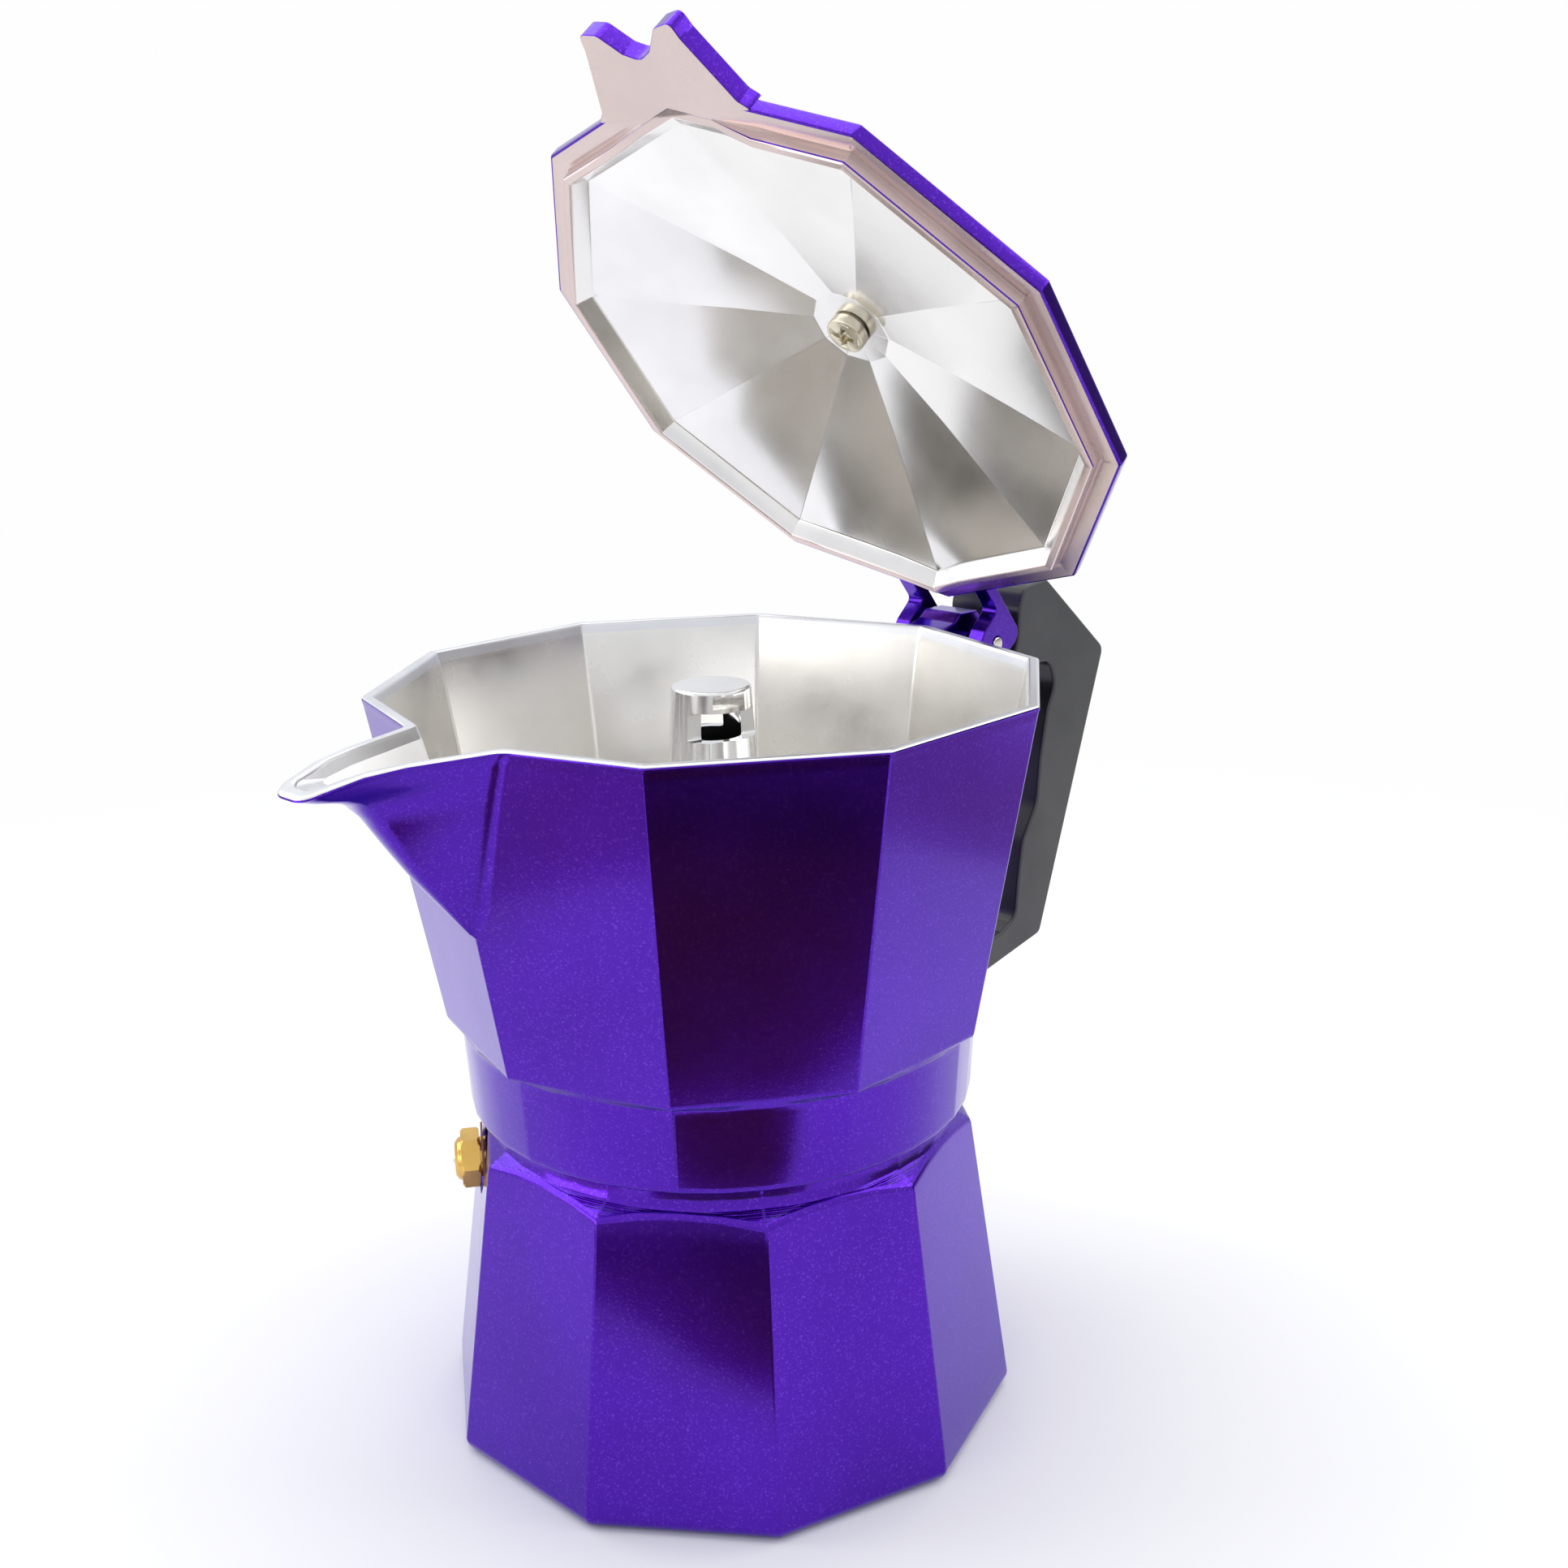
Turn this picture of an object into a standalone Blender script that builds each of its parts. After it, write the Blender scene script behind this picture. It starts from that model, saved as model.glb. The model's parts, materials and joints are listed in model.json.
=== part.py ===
"""Stove-top moka pot with its lid part open. Metres, +Z up.

The boiler axis is the Z axis and its base is at z = 0. The spout points to -X, and the hinge
and handle are on +X. Every dimension is in millimetres, and MM turns it into metres.
"""

import math

import bmesh
import bpy
from mathutils import Matrix, Vector

MM = 0.001
SIDES = 10
SEG = 60

# Boiler
BASE_R = 46.0
BASE_ROUND = 2.3
SHOULDER_R = 39.6
SHOULDER_Z = 47.2
SHOULDER_SLOPE = 0.6
BOILER_TURN = 18.0
NECK_R = 36.2
NECK_BORE_R = 32.6
BOILER_TOP_Z = 61.4

# Thread between boiler and collector
THREAD_PITCH = 3.0
THREAD_DEPTH = 0.9
THREAD_GAP = 0.45
THREAD_STEP = 0.6
MALE_Z = (52.6, 60.6)
FEMALE_Z = (54.6, 61.6)

# Collector (upper pot)
RIM_R = 51.4
RIM_Z = 118.0
WALL = 1.8
FACET_FOOT_R = 42.2
FACET_FOOT_Z = 66.3
COLLAR_TOP_R = 42.5
COLLAR_FOOT_R = 41.3
COLLAR_FOOT_Z = 53.7
FLOOR_TOP_Z = 68.0
FLOOR_UNDER_Z = 65.4
SEAT_R = 9.4
RECESS_R = 35.6

# Riser column
COLUMN_TOP_Z = 116.8
COLUMN_TOP_R = 6.0
COLUMN_FOOT_R = 8.8
COLUMN_BORE_R = 4.4
WINDOW_Z = (109.2, 113.6)
WINDOW_FLAT = 3.0
WINDOW_TURN = 252.0

# Gasket, filter plate and funnel
GASKET_Z = (62.9, 65.1)
GASKET_R = (27.4, 35.2)
PLATE_R = 28.9
PLATE_Z = (63.7, 64.4)
FUNNEL_R = 31.9
FUNNEL_WALL = 0.7
FUNNEL_FLANGE_R = 34.6
FUNNEL_DEPTH = 20.0
STEM_R = 5.0
STEM_FOOT_Z = 8.0
HOLE_R = 0.75

# Safety valve, on the boiler facet centred at this angle
VALVE_TURN = 144.0
VALVE_Z = 43.0
VALVE_FACE = 37.8
VALVE_HEX_AF = 8.0
VALVE_SHANK_R = 3.1

# Hinge
HINGE_X = 58.2
HINGE_Z = 114.8
PIN_R = 1.2
PIN_GAP = 0.3
LUG_HALF = 3.3
LUG_R = 3.0
EAR_Y = (6.5, 9.6)
LID_OPEN = 50.8

# Lid, in closed position
LID_X = 1.0
LID_R = 51.0
LID_GAP = 0.3
FLANGE_T = 2.4
RIB_R = (46.0, 47.4)
RIB_DEPTH = 1.8
POCKET_R = 44.6
POCKET_Z = 0.8
CROWN_R = 7.0
CROWN_Z = 9.8
CROWN_T = 2.4
LID_HOLE_R = 2.1

# Knob and its screw, heights above the lid's flange underside
KNOB_H = 20.0
KNOB_FOOT_R = 7.0
KNOB_TOP_R = 10.6
INSERT_R = 3.0
SCREW_R = 1.7
SCREW_HEAD_R = 2.8
SCREW_HEAD_H = 1.9

# Handle
HANDLE_HALF = 7.5
TANG_HALF = 2.0
TANG_PIN = (57.5, 101.3)


def clear_scene():
    for obj in list(bpy.data.objects):
        bpy.data.objects.remove(obj, do_unlink=True)


def material(name, colour, roughness, metallic):
    mat = bpy.data.materials.new(name)
    mat.use_nodes = True
    shader = mat.node_tree.nodes["Principled BSDF"]
    shader.inputs["Base Color"].default_value = (*colour, 1.0)
    shader.inputs["Roughness"].default_value = roughness
    shader.inputs["Metallic"].default_value = metallic
    mat.diffuse_color = (*colour, 1.0)
    return mat


def make_object(name, verts, faces, mat=None, place=None, smooth=32.0):
    """A closed mesh from points in millimetres, its faces turned to face out."""
    mesh = bpy.data.meshes.new(name)
    scaled = [tuple(c * MM for c in v) for v in verts]
    mesh.from_pydata(scaled, [], faces)
    work = bmesh.new()
    work.from_mesh(mesh)
    bmesh.ops.recalc_face_normals(work, faces=work.faces)
    work.to_mesh(mesh)
    work.free()
    mesh.shade_smooth()
    mesh.set_sharp_from_angle(angle=math.radians(smooth))
    obj = bpy.data.objects.new(name, mesh)
    bpy.context.scene.collection.objects.link(obj)
    if mat is not None:
        mesh.materials.append(mat)
    if place is not None:
        obj.matrix_world = place
    return obj


def cutter(obj):
    obj.hide_render = True
    obj.display_type = "WIRE"
    return obj


def combine(obj, other, operation):
    mod = obj.modifiers.new(other.name, "BOOLEAN")
    mod.operation = operation
    mod.solver = "EXACT"
    mod.object = cutter(other)
    return obj


def decagon(theta, turn):
    """Radius of a ten-sided outline in degrees, over its corner radius."""
    side = 360.0 / SIDES
    off = (theta - turn) % side - side / 2
    return math.cos(math.radians(side / 2)) / math.cos(math.radians(off))


def mix(sides_r, roundness, theta, turn):
    return sides_r * ((1 - roundness) * decagon(theta, turn) + roundness)


def lathe(name, rings, mat=None, closed=True, place=None, seg=SEG, smooth=32.0):
    """Joins rings around Z. A ring is a function of the angle giving (radius, height), or a pair.

    A closed profile joins its last ring to its first. An open one ends in a pole at each end.
    """
    verts = []
    rows = []
    for ring in rings:
        row = []
        for i in range(seg):
            theta = 360.0 * i / seg
            r, z = ring(theta) if callable(ring) else ring
            if r == 0 and row:
                row.append(row[0])
                continue
            a = math.radians(theta)
            row.append(len(verts))
            verts.append((r * math.cos(a), r * math.sin(a), z))
        rows.append(row)
    faces = []
    pairs = list(zip(rows, rows[1:]))
    if closed:
        pairs.append((rows[-1], rows[0]))
    for low, high in pairs:
        for i in range(seg):
            j = (i + 1) % seg
            loop = [low[i], low[j], high[j], high[i]]
            face = [v for n, v in enumerate(loop) if v not in loop[:n]]
            if len(face) > 2:
                faces.append(face)
    return make_object(name, verts, faces, mat, place, smooth)


def prism(name, outline, half, mat=None, place=None, centre=0.0):
    """Extrudes an outline in XZ along Y, by half each way from centre."""
    n = len(outline)
    verts = [(x, centre - half, z) for x, z in outline]
    verts += [(x, centre + half, z) for x, z in outline]
    faces = [tuple(range(n)), tuple(range(2 * n - 1, n - 1, -1))]
    for i in range(n):
        j = (i + 1) % n
        faces.append((i, j, n + j, n + i))
    return make_object(name, verts, faces, mat, place, 40.0)


def rod(name, r, start, end, mat=None, place=None, seg=32, chamfer=0.0):
    """A round bar along Z of the given placing."""
    rings = [(0, start), (r - chamfer, start)]
    if chamfer:
        rings += [(r, start + chamfer), (r, end - chamfer)]
    rings += [(r - chamfer, end), (0, end)]
    if not chamfer:
        rings = [(0, start), (r, start), (r, end), (0, end)]
    return lathe(name, rings, mat, False, place, seg)


def stack(name, sections, mat=None):
    """Joins sections of equal point count and caps the first and last."""
    n = len(sections[0])
    verts = [p for section in sections for p in section]
    faces = [tuple(range(n))]
    faces.append(tuple(range(len(verts) - 1, len(verts) - n - 1, -1)))
    for k in range(len(sections) - 1):
        for i in range(n):
            j = (i + 1) % n
            a = k * n
            faces.append((a + i, a + j, a + n + j, a + n + i))
    return make_object(name, verts, faces, mat)


def arc(cx, cz, r, start, end, steps):
    turn = (end - start) / steps
    angles = [math.radians(start + turn * i) for i in range(steps + 1)]
    return [(cx + r * math.cos(a), cz + r * math.sin(a)) for a in angles]


def along_y(x, z):
    """Places a Z-axis shape with its axis along Y."""
    return Matrix.Translation(Vector((x, 0, z)) * MM) @ Matrix.Rotation(math.pi / 2, 4, "X")


def between(a, b, t):
    return a + (b - a) * t


def at(table, z):
    """Straight-line reading of a short list of (height, value)."""
    for (z0, v0), (z1, v1) in zip(table, table[1:]):
        if z <= z1:
            return between(v0, v1, max(0.0, (z - z0) / (z1 - z0)))
    return table[-1][1]


def thread_wave(theta, z):
    """Height of a right-hand thread between 0 and 1, with flat crests and roots."""
    phase = (z / THREAD_PITCH - theta / 360.0) % 1.0
    return min(1.0, max(0.0, 1.6 - 3.2 * abs(phase - 0.5) * 1.25))


def thread_rings(root, span, fade):
    rings = []
    steps = round((span[1] - span[0]) / THREAD_STEP)
    for k in range(steps + 1):
        z = between(span[0], span[1], k / steps)
        level = min(1.0, (z - span[0]) / fade, (span[1] - z) / fade) if fade else 1.0

        def ring(theta, z=z, level=level):
            return root + THREAD_DEPTH * level * thread_wave(theta, z), z

        rings.append(ring)
    return rings


def collector_r(z):
    slope = (RIM_R - FACET_FOOT_R) / (RIM_Z - FACET_FOOT_Z)
    return FACET_FOOT_R + slope * (z - FACET_FOOT_Z)


def boiler_r(z):
    slope = (BASE_R - SHOULDER_R) / (SHOULDER_Z - BASE_ROUND)
    return BASE_R - slope * (z - BASE_ROUND)


def sided(r, z, roundness=0.0, turn=0.0):
    return lambda theta: (mix(r, roundness, theta, turn), z)


def scallop(theta):
    """Where the conical shoulder meets the boiler's facets."""
    d = decagon(theta, BOILER_TURN)
    slope = (BASE_R - SHOULDER_R) / (SHOULDER_Z - BASE_ROUND)
    rise = SHOULDER_R * (1 - d) / (1 / SHOULDER_SLOPE - slope * d)
    return boiler_r(SHOULDER_Z + rise) * d, SHOULDER_Z + rise


def facing(turn, z):
    """Places a Z-axis shape with its axis pointing out of the pot at this angle."""
    out = Matrix.Rotation(math.radians(turn), 4, "Z")
    return out @ Matrix.Translation(Vector((0, 0, z)) * MM) @ Matrix.Rotation(math.pi / 2, 4, "Y")


def build_boiler(paint):
    cone_r = 36.9
    cone_z = SHOULDER_Z + (SHOULDER_R - cone_r) * SHOULDER_SLOPE
    t = BOILER_TURN
    rings = [(0, 0.0)]
    rings += [sided(BASE_R - 2.6, 0.0, 0.0, t), sided(BASE_R - 1.2, 0.35, 0.0, t)]
    rings += [sided(BASE_R - 0.3, 1.2, 0.0, t), sided(BASE_R, BASE_ROUND, 0.0, t)]
    rings += [scallop, (cone_r, cone_z), (NECK_R + 0.2, cone_z + 0.9), (NECK_R, cone_z + 1.8)]
    rings += thread_rings(NECK_R, MALE_Z, 1.0)
    rings += [(NECK_R - 0.4, BOILER_TOP_Z), (NECK_BORE_R + 0.3, BOILER_TOP_Z)]
    rings += [(NECK_BORE_R, BOILER_TOP_Z - 0.3), (NECK_BORE_R, 50.0), (34.8, 45.0)]
    rings += [(39.6, 10.0), (38.6, 5.5), (36.0, 3.3), (0, 3.0)]
    body = lathe("boiler_body", rings, paint, False)
    bore = rod("cut_valve_bore", VALVE_SHANK_R + 0.3, 30, 45, None, facing(VALVE_TURN, VALVE_Z))
    face = rod("cut_valve_face", 5.8, VALVE_FACE, 48, None, facing(VALVE_TURN, VALVE_Z))
    combine(body, face, "DIFFERENCE")
    combine(body, bore, "DIFFERENCE")
    return body


def hexagon(af, z):
    def ring(theta):
        off = (theta % 60.0) - 30.0
        return af / 2 / math.cos(math.radians(off)), z

    return ring


def build_valve(brass, fibre, steel):
    place = facing(VALVE_TURN, VALVE_Z)
    start = VALVE_FACE + 0.9
    hex_end = start + 2.9
    rings = [(1.5, 32.6), (VALVE_SHANK_R, 32.6), (VALVE_SHANK_R, start)]
    rings += [hexagon(VALVE_HEX_AF, start), hexagon(VALVE_HEX_AF, hex_end - 0.2)]
    rings += [hexagon(VALVE_HEX_AF - 0.8, hex_end), (3.4, hex_end), (3.2, hex_end + 0.5)]
    rings += [(2.6, hex_end + 0.9), (1.6, hex_end + 1.0), (1.6, hex_end + 0.3)]
    rings += [(2.4, hex_end), (2.4, 34.0), (1.5, 33.7)]
    lathe("valve_body", rings, brass, True, place, 48)
    washer = [(VALVE_SHANK_R + 0.3, VALVE_FACE + 0.3), (5.3, VALVE_FACE + 0.3)]
    washer += [(5.3, VALVE_FACE + 0.6), (VALVE_SHANK_R + 0.3, VALVE_FACE + 0.6)]
    lathe("valve_washer", washer, fibre, True, place, 48)
    plunger = [(0, 32.9), (1.2, 32.9), (1.2, 33.9), (2.0, 34.4), (2.0, 35.2), (0.8, 35.3)]
    plunger += [(0.8, 42.6), (0.5, 42.9), (0, 42.9)]
    lathe("valve_plunger", plunger, steel, False, place, 24)
    retainer = [(1.1, 40.3), (2.1, 40.3), (2.1, 41.2), (1.1, 41.2)]
    lathe("valve_retainer", retainer, brass, True, place, 32)
    turns = 4.0
    steps = 44
    wire = 0.28
    sections = []
    for k in range(steps + 1):
        a = 2 * math.pi * turns * k / steps
        run = (40.0 - 35.9) / (2 * math.pi * turns)
        centre = Vector((1.5 * math.cos(a), 1.5 * math.sin(a), 35.9 + run * a))
        out = Vector((math.cos(a), math.sin(a), 0))
        ahead = Vector((-1.5 * math.sin(a), 1.5 * math.cos(a), run)).normalized()
        side = ahead.cross(out)
        section = []
        for i in range(6):
            b = 2 * math.pi * i / 6
            section.append(tuple(centre + wire * (math.cos(b) * out + math.sin(b) * side)))
        sections.append(section)
    spring = stack("valve_spring", sections, steel)
    spring.matrix_world = place


def perforations(name, rings, z, r):
    """One cutter holding all the round holes of a plate."""
    verts = []
    faces = []
    for ring_r, count in rings:
        for k in range(count):
            a = 2 * math.pi * k / count
            n = len(verts)
            for level in (z - 3, z + 3):
                for i in range(6):
                    b = 2 * math.pi * i / 6
                    x = ring_r * math.cos(a) + r * math.cos(b)
                    verts.append((x, ring_r * math.sin(a) + r * math.sin(b), level))
            faces.append(tuple(range(n, n + 6)))
            faces.append(tuple(range(n + 11, n + 5, -1)))
            for i in range(6):
                j = (i + 1) % 6
                faces.append((n + i, n + j, n + 6 + j, n + 6 + i))
    return make_object(name, verts, faces)


def build_funnel(alloy):
    top = BOILER_TOP_Z + 0.3
    w = FUNNEL_WALL
    foot = top - FUNNEL_DEPTH
    rings = [(FUNNEL_FLANGE_R, top), (FUNNEL_FLANGE_R, top + w), (FUNNEL_R - w, top + w)]
    rings += [(FUNNEL_R - w, foot + 2.0), (FUNNEL_R - w - 1.2, foot + w + 0.1)]
    rings += [(9.5, foot + w), (STEM_R - w, foot - 4.0), (STEM_R - w, STEM_FOOT_Z)]
    rings += [(STEM_R, STEM_FOOT_Z), (STEM_R, foot - 4.2), (9.8, foot), (FUNNEL_R - 1.4, foot)]
    rings += [(FUNNEL_R, foot + 1.5), (FUNNEL_R, top)]
    lathe("funnel_body", rings, alloy, True)
    z = foot + w + 0.3
    disc = [(0, z), (FUNNEL_R - 2.6, z), (FUNNEL_R - 2.6, z + 0.7), (0, z + 0.7)]
    screen = lathe("funnel_screen", disc, alloy, False, None, 64)
    rows = ((0, 1), (8, 8), (16, 14), (24, 20))
    combine(screen, perforations("cut_funnel_holes", rows, z, HOLE_R), "DIFFERENCE")


def build_gasket(rubber, alloy):
    low, high = GASKET_Z
    inner, outer = GASKET_R
    groove_low = PLATE_Z[0] - 0.3
    groove_high = PLATE_Z[1] + 0.3
    rings = [(inner, low), (outer, low), (outer, high), (inner + 1.2, high)]
    rings += [(inner + 1.2, groove_high), (PLATE_R + 0.3, groove_high)]
    rings += [(PLATE_R + 0.3, groove_low), (inner, groove_low)]
    lathe("gasket", rings, rubber, True)
    low, high = PLATE_Z
    disc = [(0, low), (PLATE_R, low), (PLATE_R, high), (0, high)]
    plate = lathe("filter_plate", disc, alloy, False, None, 64)
    rows = ((0, 1), (6, 6), (12, 12), (18, 18), (24, 22))
    combine(plate, perforations("cut_plate_holes", rows, low, HOLE_R), "DIFFERENCE")


KEEL = ((89.2, -46.6), (95, -51.4), (100, -55.6), (105, -59.4), (109, -62.4), (111.6, -65.2))
KEEL += ((112.7, -68.2), (113.6, -70.9), (114.6, -72.8), (116.0, -73.7))
CHANNEL = ((96, -49.4), (100, -53.0), (105, -56.8), (109, -59.9), (112, -62.7))
CHANNEL += ((113.6, -65.6), (114.6, -68.4), (115.4, -71.2), (116.2, -72.2), (123, -72.3))


def spout_section(z, nose_x, half, nose_r, root, lip=None):
    """Horizontal slice of the spout: root inside the wall, straight sides and a round nose."""
    points = [(root, 0.0), (root + half * math.tan(math.radians(18)), -half)]
    for i in range(9):
        a = math.radians(180 + 70 - 17.5 * i)
        points.append((nose_x + nose_r + nose_r * math.cos(a), nose_r * math.sin(a)))
    points.append((root + half * math.tan(math.radians(18)), half))
    return [(x, y, lip(x) if lip else z) for x, y in points]


def lip_height(x):
    over = max(0.0, -60.0 - x) / 13.7
    return RIM_Z - 0.02 - 2.5 * over * over


def build_spout():
    sections = []
    for z, nose in KEEL:
        half = max(0.15, 0.36 * (z - 89.0))
        nose_r = at(((89, 0.12), (95, 0.9), (110, 2.2), (116, 3.4)), z)
        root = -collector_r(z) + 0.9
        lip = lip_height if z > 115 else None
        sections.append(spout_section(z, nose, half, nose_r, root, lip))
    outer = stack("add_spout", sections)
    sections = []
    for z, nose in CHANNEL:
        half = min(0.36 * (z - 89.0), 10.4) - 1.9
        nose_r = at(((96, 0.4), (110, 1.2), (116, 2.3)), z)
        sections.append(spout_section(z, nose, half, nose_r, -collector_r(z) + 5.0))
    inner = stack("cut_spout", sections)
    return outer, inner


def build_collector(paint):
    top = RIM_Z
    neck = NECK_R + THREAD_GAP
    rings = [(COLLAR_FOOT_R - 0.9, COLLAR_FOOT_Z), (COLLAR_FOOT_R - 0.3, COLLAR_FOOT_Z + 0.3)]
    rings += [(COLLAR_FOOT_R, COLLAR_FOOT_Z + 1.1), (COLLAR_TOP_R, 65.6)]
    rings += [(COLLAR_TOP_R, 66.0), (COLLAR_TOP_R - 0.3, 66.2)]
    for z, k in ((66.5, 1.0), (67.6, 0.62), (69.0, 0.25), (70.6, 0.06), (72.0, 0.0)):
        rings.append(sided(collector_r(z), z, k))
    rings += [sided(collector_r(top) - 0.1, top - 0.6), sided(RIM_R - 0.3, top - 0.15)]
    rings += [sided(RIM_R - 0.7, top), sided(RIM_R - WALL + 0.3, top)]
    rings += [sided(RIM_R - WALL, top - 0.3), sided(collector_r(71.5) - WALL, 71.5)]
    rings += [sided(40.2, 69.3, 0.3), sided(38.2, 68.3, 0.7), (35.0, FLOOR_TOP_Z)]
    rings += [(SEAT_R + 0.5, FLOOR_TOP_Z), (SEAT_R, FLOOR_TOP_Z - 0.5)]
    rings += [(SEAT_R, FLOOR_UNDER_Z), (RECESS_R, FLOOR_UNDER_Z), (RECESS_R, 62.5)]
    rings += thread_rings(neck, FEMALE_Z, 0)[::-1]
    rings += [(neck + THREAD_DEPTH + 0.4, COLLAR_FOOT_Z)]
    body = lathe("collector_body", rings, paint, True)

    spout, channel = build_spout()
    lug = [(49.0, 108.6), (54.5, 111.2)]
    lug += arc(HINGE_X, HINGE_Z, LUG_R, -100, 90, 12) + [(50.3, HINGE_Z + LUG_R)]
    lug = prism("add_lug", lug, LUG_HALF)
    tang = [(46.9, 97.6), (60.5, 97.6), (62.0, 99.0), (62.0, 103.8), (60.5, 105.2), (48.2, 105.2)]
    tang = prism("add_tang", tang, TANG_HALF)
    for extra in (spout, lug, tang):
        combine(body, extra, "UNION")
    pin_hole = rod("cut_lug_hole", PIN_R + PIN_GAP, -8, 8, None, along_y(HINGE_X, HINGE_Z), 24)
    tang_hole = rod("cut_tang_hole", 1.5, -8, 8, None, along_y(*TANG_PIN), 24)
    for hole in (channel, pin_hole, tang_hole):
        combine(body, hole, "DIFFERENCE")
    return body


def build_column(alloy):
    rings = [(0, COLUMN_TOP_Z - 2.0), (COLUMN_BORE_R - 0.4, COLUMN_TOP_Z - 2.0)]
    rings += [(COLUMN_BORE_R, COLUMN_TOP_Z - 2.4), (COLUMN_BORE_R + 1.2, FLOOR_UNDER_Z)]
    rings += [(SEAT_R - 0.3, FLOOR_UNDER_Z), (SEAT_R - 0.3, FLOOR_TOP_Z + 0.3)]
    rings += [(COLUMN_FOOT_R, FLOOR_TOP_Z + 1.2), (COLUMN_TOP_R, COLUMN_TOP_Z - 0.4)]
    rings += [(COLUMN_TOP_R - 0.5, COLUMN_TOP_Z), (0, COLUMN_TOP_Z)]
    column = lathe("riser_column", rings, alloy, False, None, 48)
    low, high = WINDOW_Z
    for k, turn in enumerate((WINDOW_TURN, WINDOW_TURN - 180)):
        outline = [(WINDOW_FLAT, low), (12, low), (12, high), (WINDOW_FLAT, high)]
        place = Matrix.Rotation(math.radians(turn), 4, "Z")
        combine(column, prism("cut_window_%d" % k, outline, 9, None, place), "DIFFERENCE")
    return column


def hinge_frame(opened):
    turn = Matrix.Rotation(math.radians(opened), 4, "Y")
    return Matrix.Translation(Vector((HINGE_X, 0, HINGE_Z)) * MM) @ turn


LID_BASE = (LID_X - HINGE_X, RIM_Z + LID_GAP - HINGE_Z)


def lid_place():
    """Frame of the lid's own axis: its origin is on the flange underside at the centre."""
    shift = Matrix.Translation(Vector((LID_BASE[0], 0, LID_BASE[1])) * MM)
    return hinge_frame(LID_OPEN) @ shift


def tab_gap(theta):
    """1 where the rib is left out behind the tab, else 0."""
    return 1.0 if abs((theta % 360.0) - 180.0) < 16 else 0.0


def build_lid(paint):
    rib_in, rib_out = RIB_R

    def rib(r):
        return lambda theta: (mix(r, 0.0, theta, 0.0), -RIB_DEPTH * (1 - tab_gap(theta)) - 0.02)

    top = CROWN_Z + CROWN_T
    rings = [(LID_HOLE_R, CROWN_Z), sided(CROWN_R, CROWN_Z), sided(POCKET_R, POCKET_Z)]
    rings += [rib(rib_in), rib(rib_out), sided(rib_out + 0.2, 0.25), sided(rib_out + 0.8, 0.25)]
    rings += [sided(rib_out + 1.0, 0.0), sided(LID_R - 0.3, 0.0), sided(LID_R, 0.3)]
    rings += [sided(LID_R, FLANGE_T - 0.4), sided(LID_R - 0.4, FLANGE_T)]
    rings += [sided(LID_R - 2.2, FLANGE_T + 0.1), sided(CROWN_R + 1.2, top), (LID_HOLE_R, top)]
    lid = lathe("lid_shell", rings, paint, True, lid_place())

    half = Matrix.Rotation(-math.pi / 2, 4, "X")
    tab = [(-44.5, -13.3), (-46.9, -13.0), (-57.2, -9.3), (-58.8, -8.9), (-59.6, -7.8)]
    tab += [(-59.5, -6.4), (-58.2, -4.4), (-56.4, -2.4), (-55.3, -0.8)]
    tab += [(x, -y) for x, y in reversed(tab)]
    tab_t = 1.6
    place = lid_place() @ Matrix.Translation(Vector((0, 0, tab_t)) * MM) @ half
    combine(lid, prism("add_tab", tab, tab_t, None, place), "UNION")

    x0, z0 = LID_BASE
    ear = [(x0 + 46.0, z0 + 0.2), (-4.4, z0 + 0.2), (-4.2, -1.0), (-3.2, -3.2), (-1.4, -4.5)]
    ear += [(0.8, -4.6), (3.0, -3.6), (4.6, -2.4), (5.4, -1.2), (5.2, -0.2), (3.9, 0.9)]
    ear += [(3.5, 2.2), (3.7, 3.6), (3.2, 5.0), (2.0, 5.8), (x0 + 46.0, z0 + FLANGE_T)]
    for k, side in enumerate((-1, 1)):
        centre = side * (EAR_Y[0] + EAR_Y[1]) / 2
        plate = prism("add_ear_%d" % k, ear, (EAR_Y[1] - EAR_Y[0]) / 2, None,
                      hinge_frame(LID_OPEN), centre)
        combine(lid, plate, "UNION")
    hole = rod("cut_ear_hole", PIN_R + PIN_GAP, -12, 12, None, along_y(HINGE_X, HINGE_Z), 24)
    combine(lid, hole, "DIFFERENCE")
    return lid


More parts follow.
